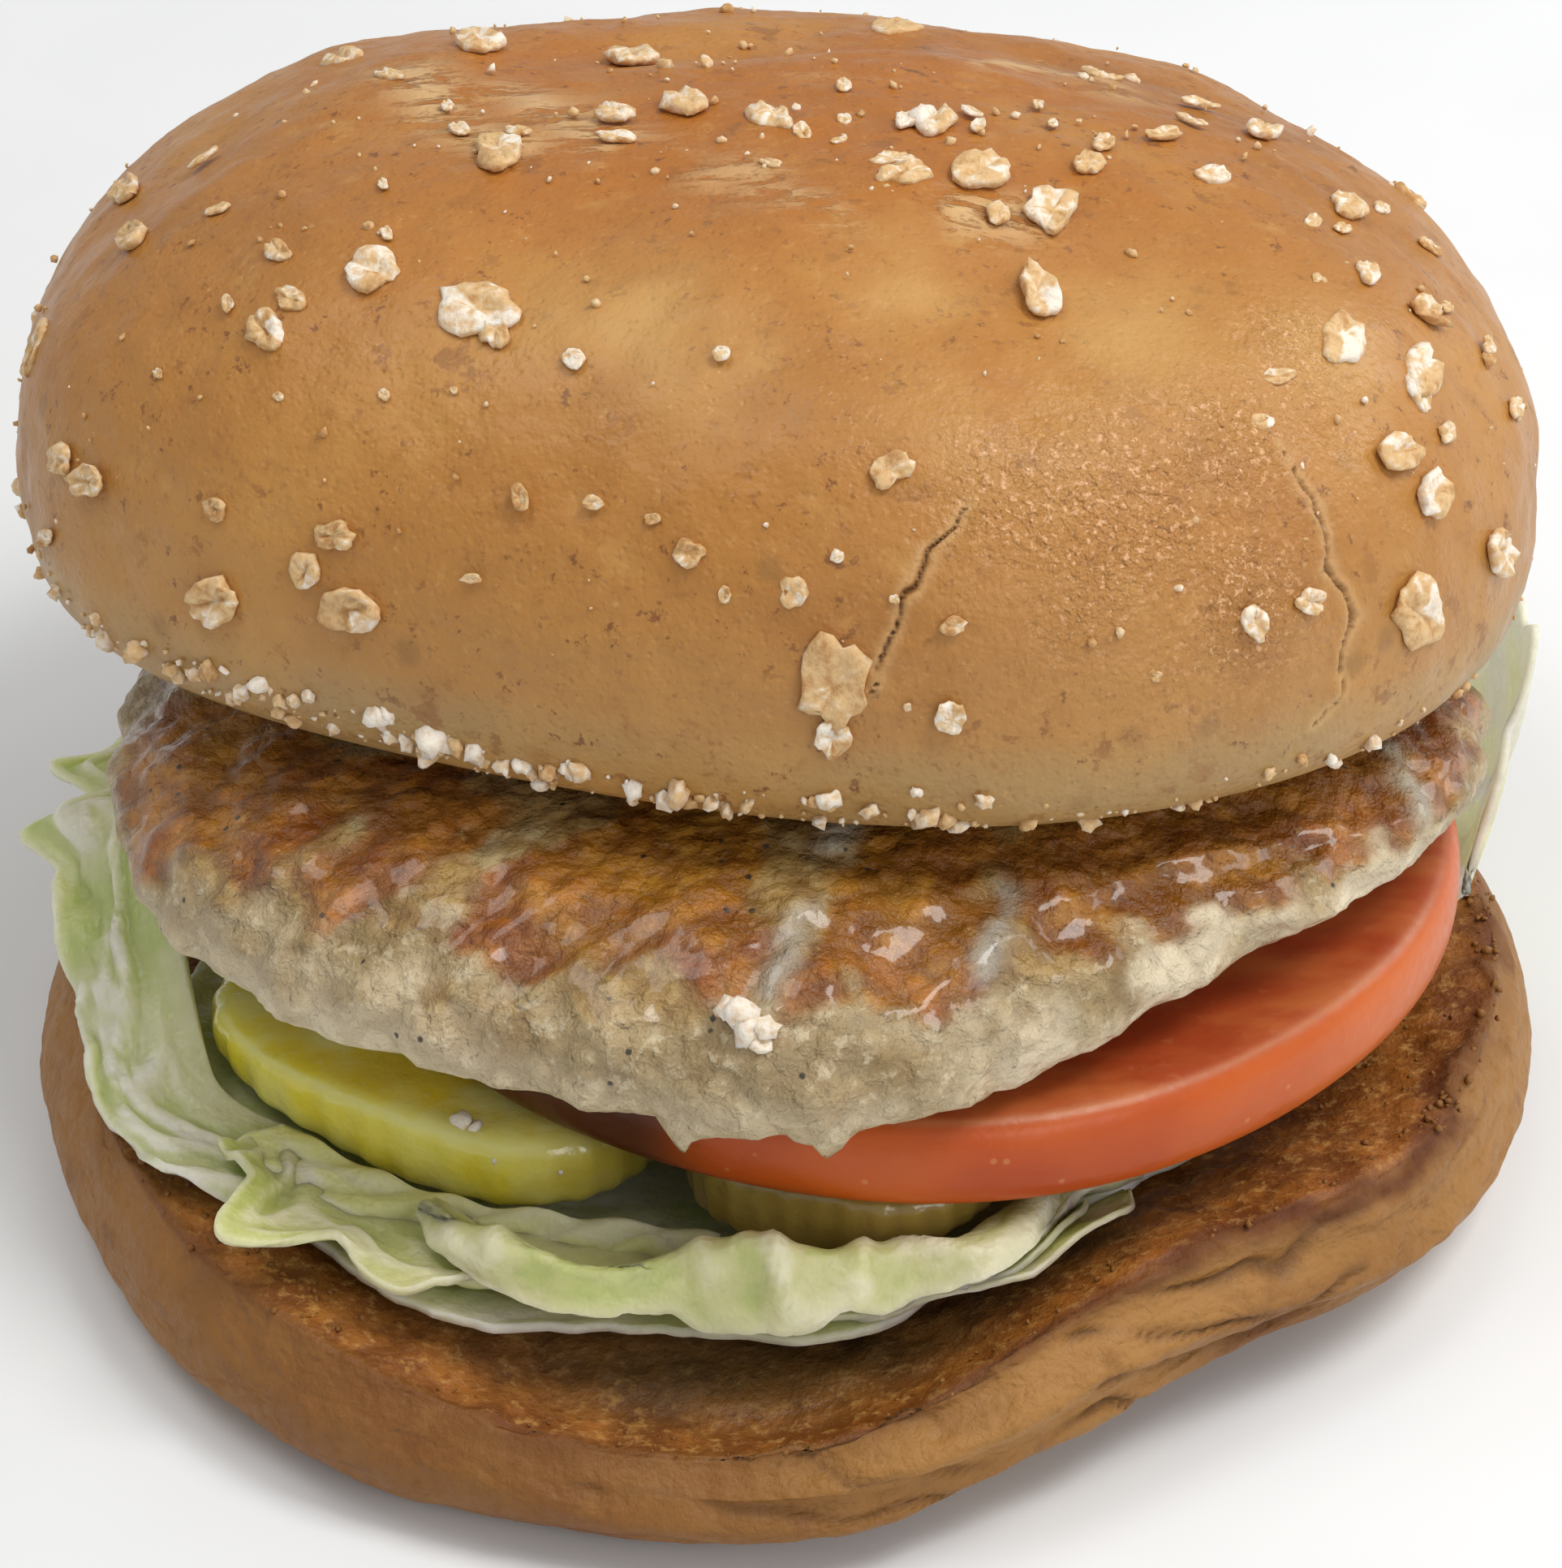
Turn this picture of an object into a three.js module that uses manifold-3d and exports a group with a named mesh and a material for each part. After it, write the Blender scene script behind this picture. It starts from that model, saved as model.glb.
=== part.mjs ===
// A turkey burger in an oat-topped bun. The browned patty leans back on a thick tomato slice, two
// pickle slices and a bed of lettuce, and the crown sits further back, so the fillings show in front.
// Millimetres, +Z up. The origin is on the table under the middle of the heel, and -Y is the front.
// Angles round a piece are in degrees from the front (-Y) towards the right (+X).

import * as THREE from 'three';
import { mergeVertices } from 'three/addons/utils/BufferGeometryUtils.js';
import Module from 'manifold-3d';

const wasm = await Module();
wasm.setup();

// ---- Driving dimensions -------------------------------------------------------------------------

const AIR = 0.35;                 // left between pieces that lie on each other
const LEAF = 0.7;                 // thickness of a lettuce leaf
const RIB = 1;                    // thickness of the pale ribbed fold

const HEEL = {
  radius: 59.5,                   // of the crust, at its widest
  middle: 9,                      // height of the cut face, pressed down by the fillings
  rim: 13.2,                      // height of the cut face's crust edge
  shoulder: 3.6,                  // how far the cut face's edge stays inside the widest crust
  foot: 9,                        // how far the flat underside stays inside it
  widest: 5.5,                    // height of the widest crust
  crease: 0.9,                    // depth of the creases in the pushed-in crust
  hollow: 2.2,                    // depth of the hollow behind the front rim
  dip: 3.2,                       // how much lower the rim is at the front
  // [angle, width, share of the radius]: the heel is pushed in at the front right
  lobes: [[32, 34, -0.085], [100, 50, 0.035], [-40, 40, 0.03], [-100, 40, 0.02]],
  // [angle, width, mm]: that side is curled up off the table
  lifts: [[36, 46, 4.6], [85, 45, 1.2]],
};

// The tomato and the pickles under it lean together.
const SLICES = { at: [0, 0, 18.6], lean: 5 };
const TOMATO = { radius: 44.3, depth: 1.06, thickness: 8, at: [10, 3, 0] };
const PICKLES = {
  pickle_left: { length: 40, width: 28, thickness: 7, wedge: 2.4, at: [-25.2, -16.2], turn: -35 },
  pickle_front: { length: 25, width: 24, thickness: 6.6, wedge: 2.4, at: [5.8, -29], turn: 160 },
};

const PATTY = {
  radius: 51.5, thickness: 15, edge: 9, at: [0, 0, 28.2], lean: 6, droop: 1.5,
  thinning: 2.6,                  // how much thinner it is at the front right, from below
  lobes: [
    [-66, 30, 0.02], [-26, 30, -0.03], [0, 70, -0.06], [2, 16, 0.02],
    [42, 40, -0.1], [100, 44, 0.1], [-100, 40, 0.03],
  ],
};

const CROWN = {
  radius: 60.5, depth: 0.9, height: 40.3,
  belly: 8.5,                     // height of the widest line above the cut
  undercut: 4.6,                  // how far the cut edge stays inside the widest line
  hollow: 4.3,                    // the cut face is pressed in by the patty
  fullness: 0.82,                 // below 1, the dome is fuller than an ellipse
  at: [-0.7, 17.6, 39.6], lean: 11, roll: 2,
  lobes: [[-24, 48, -0.085], [40, 44, 0.025], [75, 40, 0.01], [138, 48, 0.055], [-132, 50, 0.1]],
  swell: 0.9, swellLength: 62,    // low, wide unevenness of the top
  // a shallow crease across the top, slanting by its slope
  crease: { depth: 1.1, width: 5, at: [6, 14], slope: 0.15, from: 18, to: 34 },
};

// Rolled oats on the crown. The large ones are placed as [angle, climb, length, width, turn].
const FLAKES = {
  thickness: 1.3,
  raised: 0.15,                   // middle of a flake above the crust
  placed: [
    [4, 0.05, 7.4, 5.6, 1.5], [50, 0.05, 7, 5, 2.4], [-32, 0.51, 6, 4.5, 3],
    [-56, 0.76, 6.4, 3.8, 2.7], [28, 0.61, 5.6, 3.2, 1.2], [60, 0.33, 6, 3.2, 0.3],
    [-34, 0.05, 5.2, 3.6, 0.3], [-46, 0.02, 5, 3.4, 0.5], [-45, 0.51, 4.7, 3.5, 0.1],
    [40, 0.72, 6, 4, 0.7], [54, 0.42, 6, 3.6, 0.4], [54, 0.19, 4.2, 3.2, 0.6],
    [52, 0.26, 4.6, 2.8, 3], [63, 0.06, 5, 3.5, 2.5], [50, 0.89, 5.4, 3, 0.6],
    [36, 0.79, 5.6, 3.6, 0.4], [22, 0.8, 4.6, 2.8, 0.1], [8, 0.33, 3, 2.6, 0.4],
    [-50, 0.38, 3.8, 2.8, 2.7], [12, 0.02, 2.8, 2.4, 1.9], [34, 0.1, 2.8, 2.2, 2],
    [39, 0.11, 2.8, 2, 2.9], [-62, 0.88, 3.6, 2.6, 0.1], [-56, 0.93, 5, 3.4, 2.9],
    [-8, 0.93, 4.4, 3.4, 1.9], [72, 0.67, 3.6, 2.2, 2.7], [101, 0.61, 5, 2.6, 2.5],
    [84, 0.53, 5, 3, 3], [-61, 0.1, 4, 2.6, 0.3], [-80, 0.39, 5, 3, 0.1],
    [-99, 0.37, 5.4, 3.2, 0.3], [-118, 0.6, 5, 3, 0.9], [-118, 0.75, 6, 3.6, 0.8],
    [-134, 0.86, 6, 4, 0.9], [162, 0.75, 6.4, 4.2, 1.7],
  ],
  strewn: 12,                     // tried all round, largest first
  apart: 8,                       // least distance between flakes
  sizes: [5.6, 2.6],              // from the first strewn flake to the last
  spiral: 137.5,                  // degrees from one strewn flake to the next
};

const { degToRad, lerp, smoothstep } = THREE.MathUtils;

// ---- Shape helpers ------------------------------------------------------------------------------

// 1 at the middle of a lobe, falling smoothly to 0 at its width to either side.
function lobe(angle, middle, width) {
  const turn = THREE.MathUtils.euclideanModulo(angle - middle + 180, 360) - 180;
  return Math.abs(turn) < width ? 0.5 + 0.5 * Math.cos((Math.PI * turn) / width) : 0;
}

function lobes(angle, list) {
  return list.reduce((sum, [at, width, size]) => sum + size * lobe(angle, at, width), 0);
}

const angleOf = (x, y) => THREE.MathUtils.radToDeg(Math.atan2(x, -y));

// A smooth unevenness of the given wavelength, between about -1 and 1.
function unevenness(x, y, z, wavelength, phase) {
  const k = (2 * Math.PI) / wavelength;
  const { sin, cos } = Math;
  const wide = sin(k * (x + 0.4 * y) + phase) * cos(k * (y - 0.3 * x + 0.5 * z) + 2.1 * phase);
  const fine = sin(k * 1.7 * (x - 0.6 * y + 0.4 * z) + 3.7 * phase) * cos(k * 1.3 * (z + 0.8 * y) - phase);
  return (wide + fine) / 1.6;
}

// Turns a profile of [radius, height] pairs round the Z axis, then lets shape() move each point.
function turned(profile, segments, shape) {
  const points = profile.map(([radius, height]) => new THREE.Vector2(radius, height));
  const round = new THREE.LatheGeometry(points, segments).rotateX(Math.PI / 2);
  return moved(round, shape);
}

// A flat board split alike on both faces, with place(along, across) giving its middle surface.
function sheet(columns, rows, thickness, place) {
  const step = 1e-3;
  return moved(new THREE.BoxGeometry(1, 1, 1, columns, rows, 1), (point) => {
    const [along, across, side] = [point.x + 0.5, point.y + 0.5, 2 * point.z];
    const middle = place(along, across);
    const [behind, ahead] = [Math.max(along - step, 0), Math.min(along + step, 1)];
    const [inside, outside] = [Math.max(across - step, 0), Math.min(across + step, 1)];
    const lengthwise = place(ahead, across).sub(place(behind, across));
    const sideways = place(along, outside).sub(place(along, inside));
    const normal = lengthwise.cross(sideways).normalize();
    return middle.addScaledVector(normal, (side * thickness) / 2);
  });
}

// Moves every corner of a geometry by shape(), and leaves one closed skin of shared corners.
function moved(geometry, shape) {
  geometry.deleteAttribute('normal');
  geometry.deleteAttribute('uv');
  const skin = mergeVertices(geometry, 1e-4);
  const places = skin.attributes.position;
  const point = new THREE.Vector3();
  for (let i = 0; i < places.count; i++) {
    const made = shape(point.fromBufferAttribute(places, i));
    places.setXYZ(i, made.x, made.y, made.z);
  }
  const corners = [];
  for (let i = 0; i < skin.index.count; i += 3) {
    const [a, b, c] = [0, 1, 2].map((k) => skin.index.getX(i + k));
    if (a !== b && b !== c && c !== a) corners.push(a, b, c);
  }
  skin.setIndex(corners);
  return skin;
}

function solidOf(geometry) {
  return new wasm.Manifold(new wasm.Mesh({
    numProp: 3,
    vertProperties: Float32Array.from(geometry.attributes.position.array),
    triVerts: Uint32Array.from(geometry.index.array),
  }));
}

function geometryOf(solid) {
  const { vertProperties, triVerts } = solid.getMesh();
  const geometry = new THREE.BufferGeometry();
  geometry.setAttribute('position', new THREE.BufferAttribute(vertProperties, 3));
  return geometry.setIndex(new THREE.BufferAttribute(triVerts, 1));
}

function piece(name, geometry, colour, roughness) {
  geometry.computeVertexNormals();
  const material = new THREE.MeshStandardMaterial({ color: colour, roughness, metalness: 0 });
  const mesh = new THREE.Mesh(geometry, material);
  mesh.name = name;
  return mesh;
}

// Puts a mesh or group in place, leaning back (its front edge up) and rolled (its right side down).
function settle(object, { at, lean = 0, roll = 0 }) {
  object.position.set(...at);
  object.rotation.set(degToRad(-lean), degToRad(roll), 0);
  return object;
}

// ---- Heel ---------------------------------------------------------------------------------------

const heelRadius = (angle) => HEEL.radius * (1 + lobes(angle, HEEL.lobes));
const heelLift = (angle, share) => lobes(angle, HEEL.lifts) * smoothstep(share, 0.55, 1);

// Height of the cut face, pressed down in the middle.
function heelTop(x, y) {
  const angle = angleOf(x, y);
  const share = Math.hypot(x, y) / heelRadius(angle);
  return lerp(HEEL.middle, HEEL.rim, smoothstep(share, 0.45, 0.97)) + heelLift(angle, share);
}

// The crumb is pressed in further at the front, under the ends of the leaves, and so is the rim.
function heelHollow(x, y) {
  const angle = angleOf(x, y);
  const share = Math.hypot(x, y) / heelRadius(angle);
  const behindRim = smoothstep(share, 0.5, 0.75) * (1 - smoothstep(share, 0.84, 0.98));
  return HEEL.hollow * lobe(angle, 0, 52) * behindRim + rimDip(angle) * smoothstep(share, 0.72, 0.92);
}

const rimDip = (angle) => HEEL.dip * lobe(angle, -6, 44);

function makeHeel() {
  const { radius, shoulder, foot, rim, widest, crease } = HEEL;
  const profile = [[0, 0], [radius / 2, 0], [radius - foot, 0]];
  for (const turn of [20, 42, 64, 90]) {
    const bend = degToRad(turn);
    profile.push([radius - foot + foot * Math.sin(bend), widest * (1 - Math.cos(bend))]);
  }
  profile.push([radius - 0.5, 8], [radius - 1.5, 10.6], [radius - shoulder, rim]);
  for (const share of [0.86, 0.76, 0.64, 0.48, 0.28]) profile.push([radius * share, rim]);
  profile.push([0, rim]);
  const geometry = turned(profile, 64, (point) => {
    const angle = angleOf(point.x, point.y);
    const share = Math.hypot(point.x, point.y) / radius;
    const spread = 1 + lobes(angle, HEEL.lobes) * smoothstep(share, 0.1, 0.9);
    const onTop = point.z > rim - 0.01;
    point.x *= spread;
    point.y *= spread;
    if (onTop) {
      point.z = heelTop(point.x, point.y) - heelHollow(point.x, point.y);
    } else if (share > 0.8) {
      // The crust's side is creased where it is pushed in.
      const wave = Math.sin(point.z * 1.1 + point.x * 0.09);
      const inwards = 1 - (crease * wave * lobe(angle, 30, 62)) / radius;
      point.x *= inwards;
      point.y *= inwards;
      point.z += heelLift(angle, share) - rimDip(angle) * smoothstep(point.z, 6, 12);
    }
    return point;
  });
  return piece('bun_heel', geometry, '#9c6a3a', 0.75);
}

// ---- Lettuce ------------------------------------------------------------------------------------

// A gentle wave that all leaves share where they lie on each other, so that they nest.
const nest = (x, y) => 0.2 * unevenness(x, y, 0, 23, 0.7);

// How high the middle of a leaf lies over the heel. Layer 0 is the lowest leaf.
const leafBed = (x, y, layer) =>
  heelTop(x, y) + AIR + 0.2 + LEAF / 2 + nest(x, y) + layer * (LEAF + AIR) + (layer > 0 ? 0.2 : 0);

const around = (angle, radius, height) =>
  new THREE.Vector3(radius * Math.sin(degToRad(angle)), -radius * Math.cos(degToRad(angle)), height);

const ripple = (angle, waves, phase) => Math.sin(degToRad(angle * waves) + phase);

function leafPiece(name, geometry, colour) {
  return piece(name, geometry, colour, 0.5);
}

// The whole leaf on the heel. Its ruffled margin shows under the others.
function makeLettuceBase() {
  const radius = 49;
  const margin = [[-62, 32, 0.12], [-31, 20, 0.08], [27, 26, -0.13], [58, 40, -0.16], [180, 90, -0.08]];
  const profile = [0, 0.32, 0.58, 0.76, 0.89, 1].map((share) => [share * radius, -LEAF / 2]);
  profile.push(...profile.map(([r]) => [r, LEAF / 2]).reverse());
  const geometry = turned(profile, 52, (point) => {
    const angle = angleOf(point.x, point.y);
    const share = Math.hypot(point.x, point.y) / radius;
    const spread = 1 + (lobes(angle, margin) + 0.014 * ripple(angle, 13, 0)) * share;
    const [x, y] = [point.x * spread, point.y * spread];
    const ruffle = 0.15 * (1 + ripple(angle, 13, 1)) * smoothstep(share, 0.85, 1) * lobe(angle, -30, 90);
    return point.set(x, y, leafBed(x, y, 0) + ruffle + point.z);
  });
  return leafPiece('lettuce_base', geometry, '#b9c98a');
}

// The leaf on the left. It stands up under the patty's edge and slopes down to the rim of the heel.
function makeLettuceLeft() {
  const bulges = [[-60, 14, 4.5], [-72, 14, 5], [-85, 12, 5.5], [-97, 14, 4], [-108, 9, 4]];
  const tips = [[-92.5, 4, 5], [-101, 5, 5]];
  const geometry = sheet(28, 6, LEAF, (along, across) => {
    const angle = lerp(-47.5, -114, along);
    const standing = smoothstep(-angle, 60, 86);
    const inner = lerp(43, 48.5, smoothstep(-angle, 55, 66));
    const margin = 52.5 + lobes(angle, bulges) + lobes(angle, tips);
    const flat = around(angle, lerp(inner, margin, across), 0);
    const bed = leafBed(flat.x, flat.y, 1) + 0.3 * smoothstep(across, 0.6, 1);
    const low = 17.6 + 5.5 * smoothstep(-angle, 76, 92);
    const pleats = 0.8 * ripple(angle + 16 * across, 22, 2) * smoothstep(across, 0.1, 0.5);
    const sloping = lerp(27.4 - 0.105 * flat.y, low, across ** 0.8) + pleats;
    return flat.setZ(lerp(bed, Math.max(sloping, bed), standing));
  });
  return leafPiece('lettuce_left', geometry, '#b4c783');
}

// A flap whose corner sticks out at the front left.
function makeLettuceCorner() {
  const margin = [[-45, 6, 7.5], [-34, 8, 1.5], [-22, 12, -5]];
  const geometry = sheet(14, 6, LEAF, (along, across) => {
    const angle = lerp(-26, -56, along);
    const flat = around(angle, lerp(45, 52.5 + lobes(angle, margin), across), 0);
    const wave = 0.5 * (1 + ripple(angle + 8 * across, 34, 0)) * smoothstep(-angle, 37, 42);
    const rise = (0.6 + 1.2 * lobe(angle, -46, 14) + wave) * smoothstep(across, 0.55, 1);
    return flat.setZ(leafBed(flat.x, flat.y, 2.15) + rise);
  });
  return leafPiece('lettuce_corner', geometry, '#c3d694');
}

// The pale ribbed fold along the front, between the pickles and the leaves on the heel.
function makeLettuceFront() {
  const margin = [[-19, 16, 2], [36, 22, -7.5], [-38, 10, -4]];
  const geometry = sheet(25, 8, RIB, (along, across) => {
    const angle = lerp(40, -36, along);
    const overCorner = smoothstep(-angle, 6, 18);
    const edge = 49.7 + lobes(angle, margin) + 0.5 * ripple(angle, 19, 1);
    const flat = around(angle, lerp(lerp(36, 43, overCorner), edge, across), 0);
    const tall = lerp(6.2, 4.6, overCorner) * lobe(angle, -6, 52);
    const crest = tall * Math.sin(Math.PI * smoothstep(across, 0.4, 1.06));
    const rise = crest * (1 + 0.15 * ripple(angle + 10 * across, 13, 0));
    return flat.setZ(leafBed(flat.x, flat.y, lerp(1.3, 3.3, overCorner)) + 0.2 + rise);
  });
  return leafPiece('lettuce_front', geometry, '#d3dcae');
}

// The leaf on the right stands up outside the tomato and the patty.
function makeLettuceRight() {
  const geometry = sheet(14, 8, LEAF, (along, across) => {
    const angle = lerp(127, 93, along);
    const standing = smoothstep(angle, 92, 103) * smoothstep(128 - angle, 0, 20);
    const margin = 56 + 7 * standing + 0.5 * ripple(angle, 17, 0);
    const flat = around(angle, lerp(44, margin, Math.sin((Math.PI / 2) * across)), 0);
    const height = (22.5 + 1.2 * ripple(angle, 23, 1)) * standing;
    return flat.setZ(leafBed(flat.x, flat.y, 1) + height * Math.max(0, 2 * across - 1) ** 1.5);
  });
  return leafPiece('lettuce_right', geometry, '#cfe08a');
}

// ---- Pickles ------------------------------------------------------------------------------------

// A lengthwise slice with blunt ends and a rounded rind. It hangs from the height z = -AIR, and
// thins by its wedge towards its own -X end.
function makePickle(name, { length, width, thickness, wedge, at, turn }) {
  const profile = [
    [0, 0], [0.6, 0], [0.93, 0], [0.985, 0.15], [1, 0.45],
    [1, 0.75], [0.97, 0.94], [0.9, 1], [0.6, 1], [0, 1],
  ];
  const power = 2.8;              // 2 would be an ellipse
  const geometry = turned(profile, 32, (point) => {
    const angle = Math.atan2(point.y, point.x);
    const bluntness = Math.abs(Math.cos(angle)) ** power + Math.abs(Math.sin(angle)) ** power;
    const blunt = bluntness ** (-1 / power);
    const bottom = wedge * (1 - smoothstep(point.x, -1, 0.3));
    const height = lerp(bottom, thickness, point.z);
    return point.set((point.x * blunt * length) / 2, (point.y * blunt * width) / 2, height);
  });
  const mesh = piece(name, geometry, '#9a8f2c', 0.25);
  mesh.position.set(...at, -AIR - thickness);
  mesh.rotation.z = degToRad(turn);
  return mesh;
}

// ---- Tomato -------------------------------------------------------------------------------------

function makeTomato() {
  const { radius, thickness, depth } = TOMATO;
  const profile = [
    [0, 0], [radius * 0.6, 0], [radius - 1.6, 0], [radius - 0.4, 0.8], [radius, 2.6],
    [radius, 5.4], [radius - 0.5, 7.2], [radius - 1.4, thickness], [radius * 0.6, thickness],
    [0, thickness],
  ];
  const geometry = turned(profile, 52, (point) => {
    const angle = angleOf(point.x, point.y);
    const spread = 1 + 0.008 * Math.sin(degToRad(5 * angle + 40));
    return point.set(point.x * spread, point.y * spread * depth, point.z);
  });
  return settle(piece('tomato_slice', geometry, '#c4522f', 0.3), TOMATO);
}

// ---- Patty --------------------------------------------------------------------------------------

function makePatty() {
  const { radius, thickness, edge } = PATTY;
  const underside = [[0, 0], [0.45, 0], [0.75, 0], [0.93, 0]];
  const side = [[0.985, 1.6], [1, 4], [0.995, 6.4], [0.97, edge - 0.6], [0.93, edge + 0.9]];
  const shoulder = [[0.86, edge + 2.6], [0.76, edge + 4.2], [0.62, thickness - 0.8]];
  const top = [[0.4, thickness - 0.2], [0.2, thickness], [0, thickness]];
  const profile = [...underside, ...side, ...shoulder, ...top].map(([r, z]) => [r * radius, z]);
  const geometry = turned(profile, 64, (point) => {
    const angle = angleOf(point.x, point.y);
    const share = Math.hypot(point.x, point.y) / radius;
    const { x, y, z } = point;
    const crags = unevenness(x, y, z, 17, 1.3) + 0.6 * unevenness(x, y, z, 9, 2.9);
    const spread = 1 + (lobes(angle, PATTY.lobes) + 0.016 * crags) * smoothstep(share, 0.2, 1);
    const droop = PATTY.droop * lobe(angle, 0, 100) * share ** 4;
    const lumps = 0.6 * crags * smoothstep(share, 0.5, 0.8) - 1.2 * lobe(angle, 75, 65);
    const bumps = z > edge ? lumps : 0;
    const thinner = PATTY.thinning * lobe(angle, 62, 46) * smoothstep(share, 0.6, 1);
    const raised = thinner * (1 - smoothstep(z, 0, edge));
    return point.set(x * spread, y * spread, z - droop + bumps + raised);
  });
  return settle(piece('turkey_patty', geometry, '#b08a5c', 0.5), PATTY);
}

// ---- Crown --------------------------------------------------------------------------------------

// The plain dome at an angle round it and a climb from 0 at its widest line to 1 at the top.
function domePoint(angle, climb) {
  const { radius, belly, height, fullness } = CROWN;
  const bend = (climb * Math.PI) / 2;
  const climbed = belly + (height - belly) * Math.sin(bend) ** fullness;
  return around(angle, radius * Math.cos(bend) ** fullness, climbed);
}

// Gives a point of the turned crown the real bun's uneven outline and dents.
function shapeCrown(point) {
  const { depth, belly, height, hollow, radius, crease } = CROWN;
  const angle = angleOf(point.x, point.y);
  const share = Math.hypot(point.x, point.y) / radius;
  const spread = 1 + lobes(angle, CROWN.lobes) * smoothstep(share, 0.2, 1);
  const x = point.x * spread;
  const y = point.y * spread * depth;
  const onTop = smoothstep(point.z, belly, height * 0.8);
  const [creaseX, creaseY] = crease.at;
  const offCrease = (y - creaseY - crease.slope * x) / crease.width;
  const ending = 1 - smoothstep(Math.abs(x - creaseX), crease.from, crease.to);
  const dip = crease.depth * Math.exp(-(offCrease ** 2)) * ending;
  const swell = CROWN.swell * unevenness(x, y, 0, CROWN.swellLength, 0.4);
  const pressedIn = point.z < 0.01 ? hollow * (1 - smoothstep(share, 0.35, 0.9)) : 0;
  return point.set(x, y, point.z + onTop * (swell - dip) + pressedIn);
}

// A rolled oat pressed into the crust: a thin oval flake lying on the dome.
function oatFlake(angle, climb, length, width, turn) {
  const step = 0.01;
  const seat = shapeCrown(domePoint(angle, climb));
  const aside = shapeCrown(domePoint(angle + 100 * step, climb)).sub(seat).normalize();
  const upwards = shapeCrown(domePoint(angle, climb + step)).sub(seat).normalize();
  const outwards = new THREE.Vector3().crossVectors(aside, upwards).normalize();
  const along = aside.multiplyScalar(Math.cos(turn)).addScaledVector(upwards, Math.sin(turn)).normalize();
  const across = new THREE.Vector3().crossVectors(along, outwards).normalize();
  const middle = seat.addScaledVector(outwards, FLAKES.raised);
  const frame = new THREE.Matrix4().makeBasis(along, outwards, across).setPosition(middle);
  const disc = new THREE.CylinderGeometry(0.4, 0.5, 1, 7).scale(length, FLAKES.thickness, width);
  return solidOf(moved(disc.applyMatrix4(frame), (point) => point));
}

// The same run of even numbers between 0 and 1 each time, for the strewn flakes.
function seeded(seed) {
  let state = seed;
  return () => {
    state = (state * 16807) % 2147483647;
    return state / 2147483647;
  };
}

// The placed flakes, then smaller ones strewn where there is room. The front middle stays bare.
function oatFlakes() {
  const { placed, strewn, apart, sizes, spiral } = FLAKES;
  const all = [...placed];
  const random = seeded(11);
  for (let i = 0; i < strewn; i++) {
    const share = (i + 0.5) / strewn;
    const angle = i * spiral + 20 * random();
    const climb = 0.03 + 0.93 * (1 - Math.sqrt(random()));
    const length = lerp(...sizes, share) * (0.9 + 0.2 * random());
    const flake = [angle, climb, length, length * (0.55 + 0.3 * random()), Math.PI * random()];
    const spot = domePoint(angle, climb);
    const bare = lobe(angle, -4, 62) > 0.1 && climb < 0.7;
    const crowded = all.some(([a, c]) => domePoint(a, c).distanceTo(spot) < apart);
    if (!bare && !crowded) all.push(flake);
  }
  return all.map((flake) => oatFlake(...flake));
}

function makeCrown() {
  const { radius, belly, undercut } = CROWN;
  const profile = [[0, 0], [radius * 0.3, 0], [radius * 0.55, 0], [radius * 0.75, 0], [radius - undercut, 0]];
  for (const turn of [22, 45, 68]) {
    const bend = degToRad(turn);
    profile.push([radius - undercut * (1 - Math.sin(bend)), belly * (1 - Math.cos(bend))]);
  }
  const steps = 15;
  for (let i = 0; i <= steps; i++) {
    const place = domePoint(90, i / steps);
    profile.push([i < steps ? place.x : 0, place.z]);
  }
  const crown = wasm.Manifold.union([solidOf(turned(profile, 56, shapeCrown)), ...oatFlakes()]);
  return settle(piece('bun_crown', geometryOf(crown), '#b9803f', 0.55), CROWN);
}

// ---- The burger ---------------------------------------------------------------------------------

const slices = settle(new THREE.Group(), SLICES);
slices.add(makeTomato());
for (const [name, size] of Object.entries(PICKLES)) slices.add(makePickle(name, size));

const burger = new THREE.Group();
burger.add(makeHeel());
burger.add(makeLettuceBase(), makeLettuceLeft(), makeLettuceCorner(), makeLettuceFront(), makeLettuceRight());
burger.add(slices, makePatty(), makeCrown());

export default burger;
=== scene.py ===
# The looks of a turkey burger in an oat-topped bun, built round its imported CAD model.
# Shapes are worked out in millimetres, as in the CAD source, and made metres at the end.
# Angles round a piece are in degrees from the front (-Y) towards the right (+X).

import math
import random

import bmesh
import bpy
import numpy as np
from mathutils import Euler, Matrix, Vector, noise
from mathutils.kdtree import KDTree


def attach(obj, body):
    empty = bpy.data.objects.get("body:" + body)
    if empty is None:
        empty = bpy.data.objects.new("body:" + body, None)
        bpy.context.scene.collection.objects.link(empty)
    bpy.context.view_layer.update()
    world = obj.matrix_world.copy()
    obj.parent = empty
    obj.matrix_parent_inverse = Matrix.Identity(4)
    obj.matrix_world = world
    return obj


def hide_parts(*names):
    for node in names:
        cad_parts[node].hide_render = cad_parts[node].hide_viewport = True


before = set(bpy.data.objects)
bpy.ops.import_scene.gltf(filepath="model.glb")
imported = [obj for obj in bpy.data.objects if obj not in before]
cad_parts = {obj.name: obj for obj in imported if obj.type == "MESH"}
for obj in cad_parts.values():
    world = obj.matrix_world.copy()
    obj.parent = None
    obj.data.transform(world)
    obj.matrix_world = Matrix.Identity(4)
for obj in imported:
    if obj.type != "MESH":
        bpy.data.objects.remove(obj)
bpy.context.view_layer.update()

MM = 0.001
FULL_TURN = 6.3  # radians, as the random turns are drawn
# Steps round each turned skin.
STEPS = dict(heel=460, pickle=150, tomato=220, patty=490, crown=330)

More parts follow.
